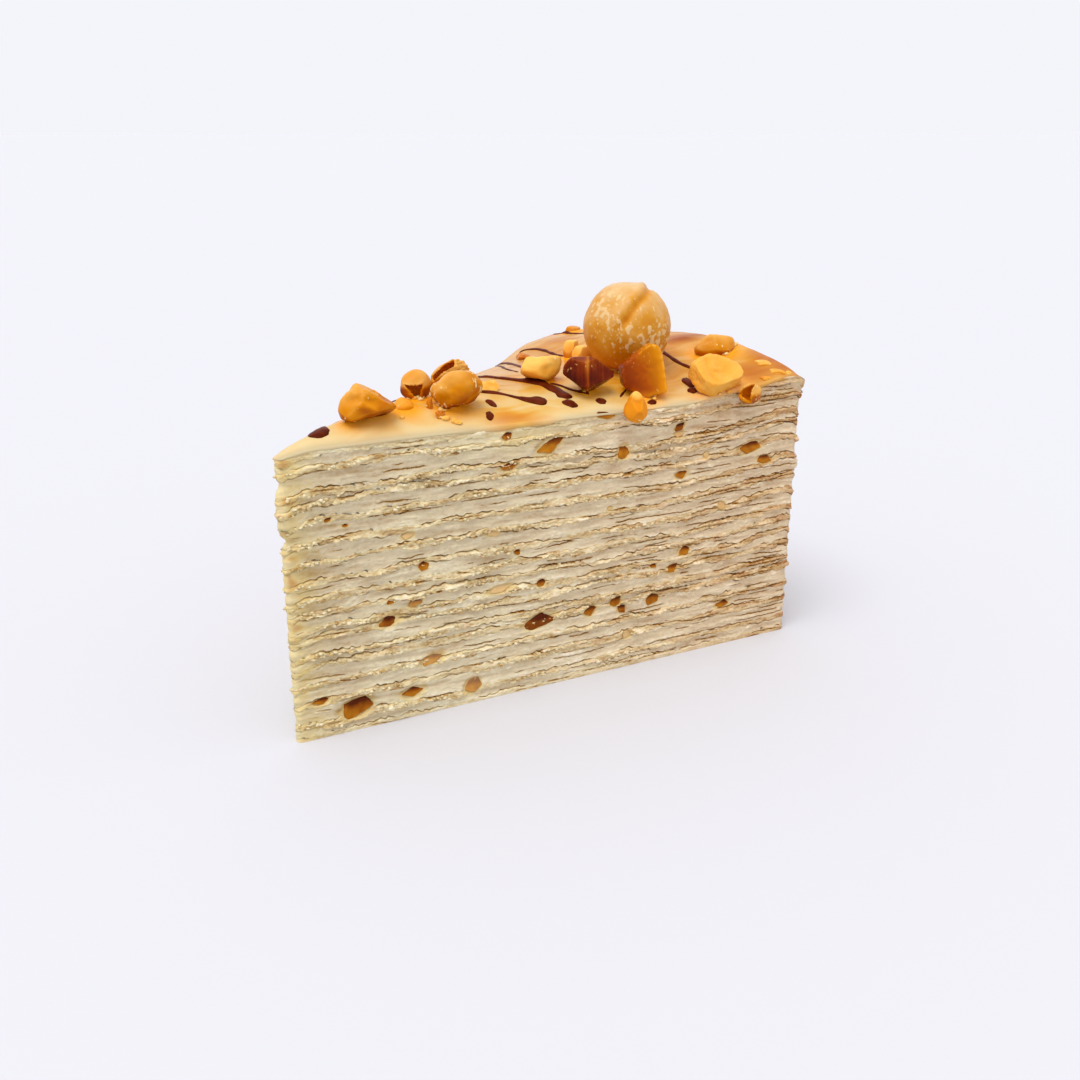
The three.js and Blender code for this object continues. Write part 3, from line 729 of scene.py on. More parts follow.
# Painted light: lighter toward its top, and painted glowing low on its left where light would come through.
glow = 0.55 + 0.36 * nut_ways[:, 2] + 0.2 * grain(points, 4.0, 76) + 0.08 * grain(points, 1.2, 77)
glow -= run * (0.1 * hump(past, -0.04, 0.1) + 0.42 * hump(past, 0.1, 0.09))
lit = 0.35 * ease(0.05, 0.8, -nut_ways[:, 2] - 0.2 * nut_ways[:, 0])
tints = sweet_tints(glow, grains_on, lit)
put_on_top("whole_nut", "glazed", points, [nut_faces], "whole nut", tints)

# The brittle is a slab snapped on every side, so its faces are clear and its edges rough and light.
# Its outline is given by its corners, as shares of its width and height.
SLAB = [(-0.476, 0.134), (-0.5, -0.038), (-0.451, -0.274), (0.037, -0.5), (0.5, -0.403),
        (0.427, 0.285), (0.341, 0.457), (0.134, 0.489), (-0.159, 0.328)]
SLAB_SIZE = (9.3, 10.4)
SLAB_HALF_DEPTH = 1.9
SLAB_EDGE = 0.3
FAR_OFF = 9.0
corners = np.array(SLAB) * SLAB_SIZE
sides = [np.full(len(ways_round), FAR_OFF)]
for start, end in zip(corners, np.roll(corners, -1, axis=0)):
    outward = np.array([start[1] - end[1], end[0] - start[0]]) / np.linalg.norm(end - start)
    outward *= np.sign(start @ outward)
    sides.append(start @ outward / np.maximum(ways_round[:, [0, 2]] @ outward, 0.05))
faces_on = SLAB_HALF_DEPTH / np.maximum(np.abs(ways_round[:, 1]), 0.05)
edge = np.exp(-np.abs(np.min(sides, axis=0) - faces_on) / 0.5)
soft = soft_least(np.vstack([sides, faces_on]), SLAB_EDGE)
soft = soft + 0.16 * grain(ways_round * 5, 1.6, 81) + 0.1 * edge * grain(ways_round * 5, 0.6, 82)
flat = ways_round * soft[:, None]
points = set_down(flat, "brittle_slab", (-6, 0, -20))
# It is lighter toward its right and top and at its snapped edges, and painted glowing where light would come
# through at its right and lower edges.
snapped = 0.35 * edge * ease(0.2, 0.7, 0.5 + grain(points, 0.9, 84))
glow = 0.36 + 0.085 * flat[:, 0] + 0.03 * flat[:, 2] + snapped
lit = 0.5 * np.maximum(ease(1.8, 4.8, flat[:, 0]), ease(3.2, 5.2, -flat[:, 2]))
tints = sweet_tints(glow, sugar(points, (0.4, 0.6, 0.6), 0.8, 83), lit)
put_on_top("brittle_slab", "snapped", points, [way_faces], "amber brittle", tints)

# The nut half lies against the rim with its flat side out, creased where the two halves parted.
# A crease runs straight between two places on the flat side, where the half's own radius is 1.
HALF_BREAKS = [(0, 90, 0.42), (0, -90, 0.42), (200, 0, 0.8), (300, 0, 0.75), (60, 0, 0.85)]
HALF_RADIUS = 5.7
CREASES = [((-0.45, 0.55), (-0.42, -0.1)), ((-0.42, -0.1), (-0.2, -0.6)), ((-0.42, -0.1), (0.0, -0.05))]
reach, edge = broken(ways_round, HALF_BREAKS, 0.05)
flat = ways_round * reach[:, None]
crease = np.zeros(len(flat))
for start, end in np.array(CREASES):
    share = np.clip((flat[:, :2] - start) @ (end - start) / np.sum((end - start) ** 2), 0, 1)
    off = np.linalg.norm(flat[:, :2] - start - share[:, None] * (end - start), axis=1)
    crease = np.maximum(crease, hump(off, 0, 0.11) * (0.6 + 0.4 * grain(flat, 0.4, 88)))
crease *= ease(0.1, 0.3, flat[:, 2])
dish = ease(0.1, 0.3, flat[:, 2]) * hump(np.linalg.norm(flat[:, :2] - [0.2, 0], axis=1), 0, 0.5)
flat[:, 2] -= 0.05 * crease + 0.12 * dish
flat += (0.07 * grain(flat, 0.5, 85) + 0.03 * grain(flat, 0.18, 86))[:, None] * ways_round
points = set_down(flat * HALF_RADIUS, "nut_half", (38, 0, -15))
# Painted shade darkens the creases and the underside, and painted light lifts the edges a little.
glow = 0.72 - 0.16 * crease - 0.25 * ease(0.1, 0.6, -flat[:, 2] + 0.1) + 0.12 * edge
glow += 0.1 * grain(points, 3, 87)
put_on_top("nut_half", "glazed", points, [way_faces], "pale nut", sweet_tints(glow))

# Curled shells: half skins of nut set in caramel, thin walled, each torn open on one side.
# Each has its size in mm, the wall as a share of its radius, the heading and rise that its mouth faces,
# how light it is, and the straight tears round the mouth: where each is on the clock face in degrees,
# and how far from the middle.
SHELLS = [
    ("curled_shell", (6.4, 6.2, 7.0), 0.13, (254, -8), 0.5, [(0, 0.38), (231, 0.4), (112, 0.42)]),
    ("split_shell", (8.8, 6.4, 8.0), 0.12, (224, 32), 0.58, [
        (321, 0.24), (141, 0.26), (51, 0.7), (231, 0.75)]),
    ("edge_curl", (5.4, 5.0, 5.4), 0.26, (218, 22), 0.6, [(330, 0.75), (210, 0.8), (90, 0.55)]),
]
SHELL_COLUMNS = 140
SHELL_ROWS = 44
LIP_ROWS = 5
MOUTH_SOFTNESS = 0.07
round_it = 2 * math.pi * np.arange(SHELL_COLUMNS) / SHELL_COLUMNS
circle = at_level(np.column_stack([np.cos(round_it), np.sin(round_it)]))
down = np.linspace(0.04, 1, SHELL_ROWS)
lip = np.linspace(0, math.pi, LIP_ROWS + 2)[1:-1]
for number, (node, size, wall, facing, light, tears) in enumerate(SHELLS):
    seed = 90 + 4 * number
    tipped = np.array(Vector((0, 0, 1)).rotation_difference(Vector(aim(*facing))).to_matrix())
    clock_up = (circle @ tipped.T) @ aim(0, 90)
    clock_right = (circle @ tipped.T) @ aim(facing[0] + 90, 0)
    mouth = []
    for clock, off in tears:
        toward = clock_up * math.cos(math.radians(clock)) + clock_right * math.sin(math.radians(clock))
        mouth.append(off / np.maximum(toward, 0.1))
    mouth = soft_least(np.array(mouth), MOUTH_SOFTNESS)
    torn = math.pi - (mouth + 0.07 * grain(circle, 0.5, seed) + 0.04 * grain(circle, 0.15, seed + 1))

    # The skin runs from its bottom to the torn lip, round the lip, and back down inside.
    turns = np.concatenate([
        down[:, None] * torn,
        torn + 0.5 * wall * np.sin(lip)[:, None],
        down[::-1, None] * torn,
    ])
    over_lip = 1 - 0.5 * wall * (1 - np.cos(lip))
    walls = np.concatenate([np.ones(SHELL_ROWS), over_lip, np.full(SHELL_ROWS, 1 - wall)])
    rounds = np.dstack([np.sin(turns) * np.cos(round_it), np.sin(turns) * np.sin(round_it), -np.cos(turns)])
    curl = 0.04 + 0.1 * grain(circle, 0.7, seed + 3) + 0.1 * ease(0.2, 0.9, clock_up)
    curl = np.exp(-np.abs(turns - torn) / 0.3) * curl

    # The split shell has crumbled where it broke.
    crumbly = ease(0.35, 0.8, rounds @ tipped.T @ aim(320, 40)) * (node == "split_shell")
    curl = curl + 0.2 * crumbly * np.abs(grain(rounds, 0.25, seed + 9))
    rounds = rounds * (walls[:, None] + 0.05 * grain(rounds, 0.5, seed + 2) + curl)[..., None]
    points = np.vstack([rounds.reshape(-1, 3), [[0, 0, -1], [0, 0, wall - 1]]]) * np.array(size) / 2
    points = set_down(points @ tipped.T, node)

    inside = np.append(np.repeat(ease(1, 1 - wall, walls), SHELL_COLUMNS), [0, 1])
    at_lip = np.append(np.exp(-np.abs(turns - torn) / 0.12).reshape(-1), [0, 0])
    # Painted light: a lighter cap on top and a lighter lip, darker below the cap, and the inside painted
    # glowing orange where light would come through.
    high = (points[:, 2] - points[:, 2].min()) / np.ptp(points[:, 2])
    capped = ease(0.42, 0.62, high) - 0.5
    glow = light + 0.35 * at_lip + (0.7 * capped + 0.2 * grain(points, 2.5, seed + 3)) * (1 - inside)

    # The curl at the cut edge is deep and turned from the light, so its hollow is dark.
    hollow = inside * (node == "edge_curl")
    glow -= 0.2 * hollow * (1 - at_lip)
    tints = sweet_tints(glow, sugar(points, 0.5, 0.82, seed + 3), inside - 0.45 * hollow)
    faces = closed_faces(len(walls), SHELL_COLUMNS)
    put_on_top(node, "glazed", points, faces, "amber caramel", tints)

# The drop hangs from the glaze over the cut edge. It is pale at the top, where it is fixed, and below it is
# clear and painted glowing orange where light would come through.
DROP_BREAKS = [(212, -5, 0.8), (300, 0, 0.78), (258, -38, 0.8), (256, 32, 0.72)]
DROP_RADIUS = 2.4
rise = ways_round[:, 2]
taper = 1 - 0.36 * ease(-0.6, 1.0, rise)
reach, edge = broken(ways_round, DROP_BREAKS, 0.05)
points = ways_round * np.column_stack([taper, taper, np.ones(len(taper))]) * reach[:, None]
points += 0.05 * grain(points, 0.6, 105)[:, None] * ways_round
points = set_down(points * DROP_RADIUS, "edge_drop")
glow = 0.3 + 0.7 * ease(0.55, 0.95, rise) + 0.15 * edge + 0.12 * grain(points, 1.6, 106)
tints = sweet_tints(glow, sugar(points, 0.5, 0.8, 107), 0.5 * (1 - ease(0.3, 0.8, rise)))
put_on_top("edge_drop", "hung", points, [way_faces], "pale nut", tints)


# --- The caramel glaze ---------------------------------------------------------------------------------
# Warm caramel poured over the top crepe. It runs level, deepens to amber where it pools round the nuts
# and at the rim, and thins to cream along the cut, where the knife has wiped it over the edge.

GLAZE_RINGS = 120
GLAZE_THICKNESS = 0.34
UNDER_GLAZE = 0.5
MENISCUS = 0.55
MENISCUS_REACH = 0.7
glaze_places, glaze_ways = outline(0.5, 0.7)
count = len(glaze_places)

# Pools of deeper glaze: a place on the top, how far each spreads along and across, and how deep it is.
POOLS = [
    ((20, 4.2), (6.0, 2.4), 0.5), ((30.5, 6), (4, 2.5), 0.45), ((39, 3.4), (6, 2), 0.35),
    ((52, 0.8), (7, 2.2), 0.5), ((63, 14), (5, 4), 0.3), ((72, 9), (5, 3), 0.3), ((83, 12), (11, 8), 0.45),
    ((92, 24), (8, 7), 0.6), ((76, 2.5), (4, 2), 0.4), ((96, 14), (5, 6), 0.25),
    ((105.5, 29.5), (6.5, 4.5), 1.0), ((107, 4), (6, 5), 1.0), ((113.5, 6), (5, 9), 0.9),
    ((114, 26), (4, 8), 0.7), ((99, 40), (5, 7), 0.4), ((80, 46), (5, 9), 0.3), ((85, 52), (4, 7), 0.35),
    ((104, 52), (6, 8), 0.5), ((47, 22), (4, 10), 0.3), ((111, 40), (5, 8), 0.6), ((72, 36), (5, 9), 0.25),
    ((47, 0.8), (7, 2.0), 0.9),
]


def foot_of(points, height):
    """The places on the top under those points of a nut that are nearer to it than a height in mm."""
    return points[points[:, 2] < top_height(points[:, :2]) + height, :2]


feet = np.vstack([foot_of(points, 0.9)[::3] for node, points in nut_points if not node.startswith("edge")])
footing = kdtree.KDTree(len(feet))
for number, (x, y) in enumerate(feet):
    footing.insert((x, y, 0), number)
footing.balance()


def to_nut(spots):
    """How far each place on the top is from the nearest foot of a nut, in mm."""
    away = [footing.find((x, y, 0))[2] for x, y in spots.reshape(-1, 2)]
    return np.array(away).reshape(spots.shape[:-1])


def glaze_depth(spots):
    """How deep the glaze lies in its pools, 0 to 1."""
    deep = np.zeros(spots.shape[:-1])
    flat = at_level(spots)
    bend = 1.5 * np.stack([grain(flat, 7.0, 110), grain(flat, 7.0, 111)], axis=-1)
    for place, spread, depth in POOLS:
        off = (spots + bend - place) / spread
        deep = np.maximum(deep, depth * np.exp(-np.sum(off**2, axis=-1)))
    return deep


def glaze_top(spots):
    """Height of the glaze's surface, with the meniscus that climbs the foot of each nut."""
    radius, share = polar(spots)
    flat = at_level(spots)
    wave = 0.14 * grain(flat, 9.0, 112) + 0.05 * grain(flat, 3.0, 113)
    from_front, from_back = spots[..., 1], radius * np.sin(CUT_ANGLE - share * CUT_ANGLE)
    from_edge = np.minimum(np.minimum(from_front, from_back), RIM_RADIUS - radius)
    thickness = (GLAZE_THICKNESS + wave) * (0.3 + 0.7 * ease(0, 3.0, from_edge))
    climb = MENISCUS * np.exp(-to_nut(spots) / MENISCUS_REACH)
    return top_height(spots) + thickness + climb + 0.25 * glaze_depth(spots)


def glaze_rings(shares):
    """Rings round the glaze, drawn in toward its middle by shares of the way."""
    start = glaze_places - 0.3 * glaze_ways
    return MIDDLE + (1 - shares)[:, None, None] * (start - MIDDLE)


# The glaze ends in a rounded lip: how far each of its rings stands out, how much it drips there and
# how much of the glaze's own height it has.
LIP = [(-0.4, 0.3, 0), (-0.05, 0.9, 0), (0.12, 1.0, 0), (0.2, 0.75, 0), (0.22, 0.35, 0.1), (0.16, 0.0, 0.4),
       (-0.03, 0.0, 0.85)]
share_in = np.linspace(0, 1, GLAZE_RINGS + 1)[1:-1]
share_in = 0.55 * share_in + 0.45 * share_in**2
top_rings = glaze_rings(np.concatenate([[0.0], share_in]))
top_rows = np.dstack([top_rings, glaze_top(top_rings)])
edge_level = top_height(glaze_places)
full = top_rows[0, :, 2] - edge_level
drip = 0.1 + 0.25 * ease(-0.1, 0.6, grain(at_level(glaze_places), 4.0, 114)) + 0.9 * glaze_depth(glaze_places)
edge_rows = [
    np.column_stack([glaze_places + out * glaze_ways, edge_level - drop * drip + lift * full])
    for out, drop, lift in LIP
]
under_rings = glaze_rings(np.array([0.8, 0.55, 0.3, 0.12]))
under_rows = np.dstack([under_rings, top_height(under_rings) - UNDER_GLAZE])
rows = np.concatenate([under_rows, edge_rows, top_rows])
bottom_middle = np.append(MIDDLE, top_height(MIDDLE) - UNDER_GLAZE)
top_middle = np.append(MIDDLE, glaze_top(MIDDLE[None])[0])
points = np.vstack([rows.reshape(-1, 3), bottom_middle, top_middle])

# Its colour deepens with its depth, round the nuts and at the rim, and pales where the knife wiped it.
spots = points[:, :2]
radius, share = polar(spots)
nearest = to_nut(spots)
deep = np.maximum(glaze_depth(spots), 0.75 * np.exp(-nearest / 1.6))
deep = np.maximum(deep, 0.9 * np.exp(-np.maximum(RIM_RADIUS - radius, 0) / 3.2))
swirl = points + 3.0 * np.column_stack([grain(points, 8.0, 117), grain(points, 8.0, 118), 0 * deep])
deep += 0.12 * grain(points, 4.0, 115) + 0.24 * grain(swirl, (9, 1.6, 9), 119)
wiped = np.exp(-np.maximum(spots[:, 1], 0) / (2.4 + 1.4 * grain(points, 6.0, 116)))
wiped *= 1 - 0.85 * ease(95, 106, radius)
wiped *= 1 - 0.85 * hump(spots[:, 0], 49, 7.5) - 0.5 * hump(spots[:, 0], 77, 3.5)
wiped = np.maximum(wiped, 0.6 * np.exp(-((spots - [3, 1]) ** 2).sum(axis=1) / 30))
peach = ease(0.1, 0.6, share) * ease(30, 60, radius) + 0.5 * ease(70, 95, radius)
# Painted light: the glaze glows amber round the feet of the nuts, as if light came through the caramel, less
# so where it is wiped.
lit = 0.9 * np.exp(-((nearest / 1.9) ** 1.4)) * (1 - 0.5 * wiped)
tints = np.column_stack([deep, wiped, peach, lit])

# Glaze is glossy and soft edged. Thin, it shows the pale crepe below; deep, it is clear amber.
glaze = new_material("caramel glaze, poured warm and set", Specular_IOR_Level=0.07,
                     Subsurface_Weight=0.15, Subsurface_Radius=(1.0, 0.45, 0.15), Subsurface_Scale=0.8 * MM)
spot = add(glaze, "TexCoord").outputs["Object"]
depth_part, wiped_part, peach_part, lit_part = tint_parts(glaze)
clouds = add(glaze, "TexNoise", {"Vector": spot, "Scale": 1 / (6 * MM), "Detail": 3.0}).outputs["Fac"]
cloudy = add(glaze, "Math", {0: clouds, 1: 0.25, 2: depth_part}, operation="MULTIPLY_ADD").outputs[0]
depth = add(glaze, "Math", {0: cloudy, 1: 0.08}, operation="SUBTRACT").outputs[0]
front = add(glaze, "ValToRGB", {"Fac": depth}, [
    (0.0, "#d2b278"), (0.2, "#d0a048"), (0.5, "#cc881a"), (1.0, "#c06c02")]).outputs[0]
back = add(glaze, "ValToRGB", {"Fac": depth}, [
    (0.0, "#cc9a54"), (0.3, "#c08028"), (0.6, "#b0660c"), (1.0, "#984a02")]).outputs[0]
mixed = add(glaze, "Mix", {0: peach_part, 6: front, 7: back}, data_type="RGBA").outputs[2]
smeared_cream = add(glaze, "ValToRGB", {"Fac": wiped_part}, [(0.5, "#d9c79a"), (0.85, "#c0af89")]).outputs[0]
creamy = add(glaze, "Mix", {0: wiped_part, 6: mixed, 7: smeared_cream}, data_type="RGBA").outputs[2]
amber = paint("#f4a014")
glowing = add(glaze, "Mix", {0: lit_part, 6: creamy, 7: amber}, data_type="RGBA").outputs[2]
ripples = add(glaze, "TexNoise", {"Vector": spot, "Scale": 1 / (1.6 * MM), "Detail": 3.0}).outputs["Fac"]
bump = add(glaze, "Bump", {"Height": ripples, "Strength": 0.35, "Distance": 0.2 * MM}).outputs[0]
rough = add(glaze, "MapRange", {"Value": wiped_part, "To Min": 0.25, "To Max": 0.5}).outputs[0]
add(glaze, "Principled", {"Base Color": glowing, "Roughness": rough, "Normal": bump})
made = make_piece("caramel_glaze", points, closed_faces(len(rows), count), glaze, tints)


# --- The chocolate drizzle -----------------------------------------------------------------------------
# Melted dark chocolate, trailed back and forth over the glaze from a piping bag and left to set.
# The lines are thin and swell to a drop where the bag stopped, with a few stray drops beside them.

DRIZZLE_STEP = 0.25
DRIZZLE_ROUND = 10
DRIZZLE_HEIGHT = 0.42
DROP_HEIGHT = 0.45
DROP_DETAIL = 4
SUNK = 0.06
# Each line runs through these places on the top, with half its width at each.
LINES = [
    [(14.3, 11.3, 0.5), (12.9, 8.4, 0.7), (11.9, 5.9, 1.1), (11.2, 4.2, 1.5), (10.9, 2.8, 1.4),
     (10.8, 1.9, 0.8)],
    [(15.4, 10.8, 0.6), (16.8, 11.9, 0.9), (18.4, 12.6, 0.8), (20.6, 12.6, 0.5)],
    [(36.9, 27.6, 0.45), (36.4, 25.0, 0.5), (35.3, 19.0, 0.45), (35.4, 15.0, 0.4)],
    [(69.6, 52.6, 0.45), (68.7, 45.6, 0.45), (66.5, 35.8, 0.35), (64.5, 28.0, 0.3)],
    [(68.0, 50.4, 0.25), (65.0, 41.0, 0.3), (62.8, 34.3, 0.3), (61.6, 26.0, 0.25)],
    [(76.4, 55.0, 0.35), (77.9, 55.4, 0.4), (79.3, 52.2, 0.4), (79.6, 48.0, 0.4), (79.2, 41.0, 0.35),
     (80.0, 35.6, 0.3)],
    [(52.0, 35.0, 0.4), (54.0, 28.0, 0.55), (55.4, 22.6, 0.6), (57.6, 18.6, 0.7), (60.4, 14.6, 0.95),
     (62.0, 10.6, 1.1), (62.4, 6.8, 1.2), (62.1, 5.6, 0.5)],
    [(62.6, 13.6, 0.35), (64.2, 12.2, 0.4), (65.3, 9.6, 0.35), (67.6, 6.2, 0.3)],
    [(45.2, 14.2, 0.4), (47.2, 12.2, 0.6), (50.0, 10.2, 0.5), (52.4, 7.6, 0.5), (54.2, 6.4, 1.0),
     (56.2, 5.9, 1.4), (57.9, 5.8, 0.6)],
    [(96.4, 26.0, 0.35), (95.7, 20.4, 0.45), (95.7, 15.0, 0.5), (96.2, 11.6, 0.4)],
    [(73.6, 4.2, 0.25), (75.0, 5.6, 0.25), (76.6, 6.6, 0.2)],
    [(29.2, 19.6, 0.4), (31.2, 20.6, 0.5), (33.6, 21.4, 0.4)],
    [(92.0, 67.0, 0.35), (91.8, 61.7, 0.4), (92.8, 55.0, 0.4), (94.5, 48.0, 0.35)],
]
# Each drop has its place, half its size both ways and its turn in degrees.
DROPS = [((61.9, 3.9), (1.3, 1.5), 15), ((46.0, 6.4), (0.75, 1.5), 10), ((43.8, 2.3), (0.75, 1.2), -25),
         ((68.8, 3.5), (1.1, 1.0), 40), ((79.4, 1.2), (1.1, 0.5), 5), ((91.6, 6.5), (1.0, 2.6), -12),
         ((90.3, 3.2), (1.2, 1.0), 30), ((47.9, 13.0), (1.0, 0.8), 0)]

# Set chocolate is deep brown with a soft sheen, and a little redder in faint clouds.
chocolate = new_material("dark chocolate, melted and piped", Roughness=0.35, Specular_IOR_Level=0.03)
spot = add(chocolate, "TexCoord").outputs["Object"]
clouds = add(chocolate, "TexNoise", {"Vector": spot, "Scale": 1 / (1.5 * MM), "Detail": 2.0}).outputs["Fac"]
brown = add(chocolate, "ValToRGB", {"Fac": clouds}, [(0.3, "#4a1404"), (0.7, "#662408")]).outputs[0]
add(chocolate, "Principled", {"Base Color": brown})


def smooth_run(knots, steps, length):
    """The values at steps along a smooth curve through knots, which lie at these lengths."""
    ends = np.concatenate([[2 * knots[0] - knots[1]], knots, [2 * knots[-1] - knots[-2]]])
    place = np.interp(steps, length, np.arange(len(length)))
    i = np.minimum(place.astype(int), len(knots) - 2)
    t = place - i
    a, b, c, d = ends[i], ends[i + 1], ends[i + 2], ends[i + 3]
    square, cube = 2 * a - 5 * b + 4 * c - d, 3 * b - a - 3 * c + d
    return 0.5 * (2 * b + (c - a) * t + square * t**2 + cube * t**3)


points, quads, triangles, base = [], [], [], 0
angle = 2 * math.pi * np.arange(DRIZZLE_ROUND) / DRIZZLE_ROUND
for number, line in enumerate(LINES):
    knots = np.array(line)
    length = np.concatenate([[0], np.cumsum(np.hypot(*np.diff(knots[:, :2], axis=0).T))])
    steps = np.arange(0, length[-1], DRIZZLE_STEP)
    x, y, half = [smooth_run(column, steps, length) for column in knots.T]
    flat = at_level(np.column_stack([x, y]), NEXT_GRAIN * number)
    x = x + 0.12 * grain(flat, 3.0, 120)
    rounded_ends = ease(-0.2, 0.8, steps) * ease(-0.2, 0.8, steps[-1] - steps) + 0.02
    half = 1.2 * half * (1 + 0.25 * grain(flat, 2.2, 121)) * np.sqrt(rounded_ends)
    way = unit(np.column_stack([np.gradient(x), np.gradient(y)]))
    side = np.column_stack([-way[:, 1], way[:, 0]])
    across = half[:, None, None] * np.cos(angle)[None, :, None] * side[:, None]
    spots = np.column_stack([x, y])[:, None] + across
    stands = np.minimum(0.55 * half, DRIZZLE_HEIGHT)[:, None] * (np.sin(angle)[None] + 0.15)
    rows = np.dstack([spots, glaze_top(spots) - SUNK + stands])
    points.append(np.vstack([rows.reshape(-1, 3), rows[0].mean(axis=0), rows[-1].mean(axis=0)]))
    around, *fans = [base + faces[:, ::-1] for faces in closed_faces(len(rows), DRIZZLE_ROUND)]
    quads.append(around)
    triangles += fans
    base += len(points[-1])
drop_ways, drop_faces = ball_of(DROP_DETAIL)
for number, ((x, y), (half_x, half_y), turn) in enumerate(DROPS):
    lumpy = drop_ways * (1 + 0.22 * grain(drop_ways, 0.8, 125 + number))[:, None]
    off_x, off_y = turned(half_x * lumpy[:, 0], half_y * lumpy[:, 1], turn)
    spots = np.column_stack([x + off_x, y + off_y])
    points.append(np.column_stack([spots, glaze_top(spots) + DROP_HEIGHT * lumpy[:, 2]]))
    triangles.append(base + drop_faces)
    base += len(drop_ways)
faces = [np.vstack(quads), np.vstack(triangles)]
made = make_piece("chocolate_drizzle", np.vstack(points), faces, chocolate)


# --- The nut bits in the cut ---------------------------------------------------------------------------
# Chopped nut and caramel is sprinkled between the crepes, and the knife leaves it bare in the cut.
# Each bit sits in its own socket in the cream, broad side out, where the knife snapped or dragged it.

BIT_SET = 0.06
BIT_DETAIL = 5
bit_ways, bit_faces = ball_of(BIT_DETAIL)


def make_bits(name, bits, sweet):
    """One piece of many bits, each given by its points and their tints."""
    points, tints = [np.vstack(part) for part in zip(*bits)]
    make_piece(name, points, [copied(bit_faces, len(bit_ways), len(bits))], sweets[sweet], tints)


bits = []
for number, (x, z, width, height, lean, dark) in enumerate(BITS):
    sides = chance.integers(4, 6)
    first = chance.uniform(0, 360)
    cuts = []
    for side in range(sides):
        heading = chance.uniform(-20, 20)
        rise = first + 360 / sides * side + chance.uniform(-16, 16)
        cuts.append((heading, rise, chance.uniform(0.5, 0.66)))
    cuts.append((270 + chance.uniform(-10, 10), chance.uniform(-5, 12), 0.14))
    reach, edge = broken(bit_ways, cuts, 0.03)
    reach = reach + 0.05 * grain(bit_ways, 0.5, 140 + number)
    bit = bit_ways * reach[:, None]
    depth = 0.7 * min(width, height) + 0.5
    bit = ((bit - bit.min(axis=0)) / np.ptp(bit, axis=0) - 0.5) * [width, depth, height]
    off_x, off_z = turned(bit[:, 0], bit[:, 2], lean)
    placed = np.column_stack([x + off_x, bit[:, 1] + depth / 2 - BIT_SET, z + off_z])
    # Painted shade darkens the top of each bit, under the upper edge of its socket, and painted light lifts
    # its edges a little.
    shaded = ease(0.4, 1.0, off_z / height + 0.5)
    glow = 0.78 - 0.6 * dark + 0.15 * (edge - 0.4) - 0.55 * shaded + 0.15 * grain(placed, 1.2, 150)
    coated = np.maximum(sugar(placed, 0.4, 0.9, 151), 0.8 * ease(0.25, 0.1, dark))
    bits.append((placed, sweet_tints(glow, coated)))
make_bits("nut_bits_in_cut", bits, "honeyed nut")


# --- The small pieces ----------------------------------------------------------------------------------
# Slivers of nut too small to be nodes: slices drowned in the glaze near the rim, dry flakes of nut and
# shell, an amber sliver at the back, and crumbs of nut and sugar round the feet of the larger pieces.

DROWNED = 0.84  # the share of its thickness that the glaze covers
SET_IN = 0.3
CRUMB_DETAIL = 2
# Each has its name, where it lies on the top, its length, width and thickness, its turn, how it tilts
# to the front, and how light it is.
SLICES = [
    ("rim_slice", (110.8, 7.2), (5.2, 3.6, 1.9), -60, 0, 0.8),
    ("rim_slice", (111.0, 2.4), (4.6, 3.0, 1.8), -62, 0, 0.7),
    ("rim_slice", (107.8, 1.4), (3.2, 2.4, 1.4), -20, 0, 0.5),
    ("rim_slice", (113.4, 1.2), (2.0, 1.6, 1.2), 20, 0, 0.85),
    ("nut_flake", (48.2, 13.0), (4.8, 3.6, 0.8), -15, 48, 0.85),
    ("amber_sliver", (73.6, 47.5), (2.8, 7.6, 1.9), -4, 0, 0.3),
    ("nut_flake", (36.4, 2.0), (1.7, 1.0, 0.8), 30, 10, 0.9),
    ("shell_flake", (33.3, 6.0), (1.3, 0.7, 3.4), -30, 8, 0.35),
    ("shell_flake", (34.9, 2.6), (1.8, 1.2, 1.0), 10, 20, 0.95),
    ("shell_flake", (36.8, 1.6), (1.9, 1.1, 0.9), -35, 15, 0.9),
    ("shell_flake", (34.2, 3.4), (2.4, 1.6, 1.5), 25, 10, 0.3),
    ("shell_flake", (26.8, 3.6), (1.2, 0.8, 0.7), 40, 10, 0.9),
]
slices = []
for number, (name, (x, y), size, turn, tilt, light) in enumerate(SLICES):
    cuts = [(chance.uniform(0, 360), chance.uniform(-25, 25), chance.uniform(0.6, 0.85)) for _ in range(5)]
    reach, edge = broken(bit_ways, cuts, 0.05)
    flat = bit_ways * (reach + 0.1 * grain(bit_ways, 0.6, 170 + number))[:, None]
    flat = flat / np.ptp(flat, axis=0) * size
    flat = flat @ np.array(Euler(np.radians((tilt, 0, turn)), "XYZ").to_matrix()).T
    ground = glaze_top(np.array([[x, y]]))[0]
    sunk = (DROWNED if name == "rim_slice" else SET_IN) * np.ptp(flat[:, 2])
    placed = flat + [x, y, ground - flat[:, 2].min() - sunk]
    # Painted light lifts their edges a little.
    glow = light + 0.2 * (edge - 0.4) + 0.2 * grain(placed, 1.2, 180)
    slices.append((placed, sweet_tints(glow, sugar(placed, 0.5, 0.8, 181))))
make_bits("nut_slices", slices, "pale nut")

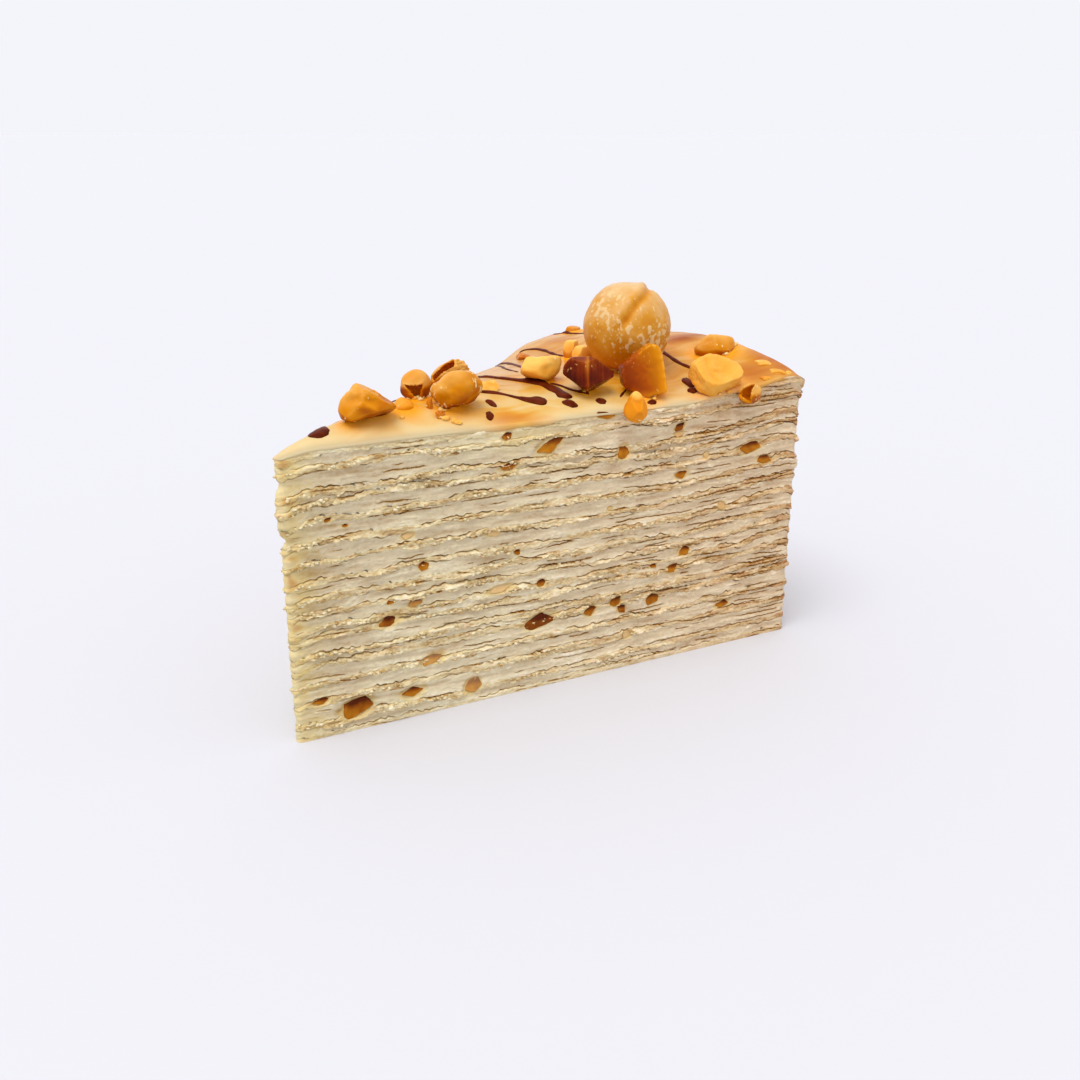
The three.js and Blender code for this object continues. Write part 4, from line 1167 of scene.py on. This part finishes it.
# Crumbs of nut and sugar lie where the nuts were set down, most of them at the front of each foot.
CRUMBED = {"round_nut": 60, "caramel_chunk_tip": 12, "whole_nut": 50, "brittle_slab": 36,
           "curled_shell": 24, "nut_block": 14, "rim_nut_block": 24, "nut_half": 12, "dark_caramel": 12}
crumb_spots = []
for node, points in nut_points:
    if node not in CRUMBED:
        continue
    foot = foot_of(points, 0.8)
    picked = foot[chance.integers(0, len(foot), CRUMBED[node])]
    away = unit(picked - points.mean(axis=0)[:2])
    crumb_spots.append(picked + away * chance.uniform(0.1, 0.9, (len(picked), 1)))
crumb_spots = np.vstack(crumb_spots)
tiny_ways, tiny_faces = ball_of(CRUMB_DETAIL)
count, corners = len(crumb_spots), len(tiny_ways)
sizes = chance.uniform(0.16, 0.5, (count, 1, 1)) * np.array([1.2, 1.0, 0.8])
crumbs = tiny_ways * (1 + 0.25 * chance.normal(size=(count, corners, 1)).clip(-1, 1)) * sizes
crumbs += np.column_stack([crumb_spots, glaze_top(crumb_spots) + 0.3 * sizes[:, 0, 2]])[:, None]
glow = chance.uniform(0.6, 1.0, count)
tints = np.repeat(sweet_tints(glow, chance.uniform(0, 1, count) ** 2), corners, axis=0)
faces = copied(tiny_faces, corners, count)
make_piece("nut_crumbs", crumbs.reshape(-1, 3), [faces], sweets["pale nut"], tints)


# --- The stage ---------------------------------------------------------------------------------------
# A plain pale floor of lacquered board in a white room, which lights it evenly from all sides. The
# camera stands before the front cut and looks a little down on it.

FRAME_PIXELS = 1080
FOCAL_PIXELS = 1150
SENSOR = 36
CAMERA_FROM_TIP = np.array([-47.2, -189.5, 108.2])
PITCH = math.radians(19.58)
YAW = math.radians(27.57)
FLOOR_HALF = 60.0
SUN_WIDTH = math.radians(40)
SUN_TILT = math.radians(14)
SUN_LEAN = math.radians(-20)
SUN_STRENGTH = 2.0
ROOM_STRENGTH = 0.98

camera = bpy.data.objects.new("camera", bpy.data.cameras.new("camera"))
camera.data.sensor_width = SENSOR
camera.data.lens = SENSOR * FOCAL_PIXELS / FRAME_PIXELS
camera.data.clip_start = 0.01
camera.location = (TIP_CORNER + CAMERA_FROM_TIP) * MM
camera.rotation_euler = (math.pi / 2 - PITCH, 0, -YAW)
bpy.context.scene.collection.objects.link(camera)
bpy.context.scene.camera = camera

floor_paint = new_material("matt white lacquer, sprayed", Roughness=0.8, Specular_IOR_Level=0.2)
add(floor_paint, "Principled", {"Base Color": paint("#cdccd0")})
floor_mesh = bpy.data.meshes.new("floor")
floor_corners = [(x * FLOOR_HALF, y * FLOOR_HALF, 0) for x, y in ((-1, -1), (1, -1), (1, 1), (-1, 1))]
floor_mesh.from_pydata(floor_corners, [], [(0, 1, 2, 3)])
floor_mesh.materials.append(floor_paint)
floor = bpy.data.objects.new("floor", floor_mesh)
bpy.context.scene.collection.objects.link(floor)

# A wide overhead light from behind on the left, as even over the floor as daylight through a roof.
overhead = bpy.data.objects.new("overhead softbox", bpy.data.lights.new("overhead softbox", "SUN"))
overhead.data.angle = SUN_WIDTH
overhead.data.energy = SUN_STRENGTH
overhead.rotation_euler = (SUN_TILT, SUN_LEAN, 0)
bpy.context.scene.collection.objects.link(overhead)

room = bpy.data.worlds.new("white studio")
room.use_nodes = True
room.node_tree.nodes["Background"].inputs["Color"].default_value = paint("#f6f7fc")
room.node_tree.nodes["Background"].inputs["Strength"].default_value = ROOM_STRENGTH
bpy.context.scene.world = room
bpy.context.scene.view_settings.view_transform = "Standard"
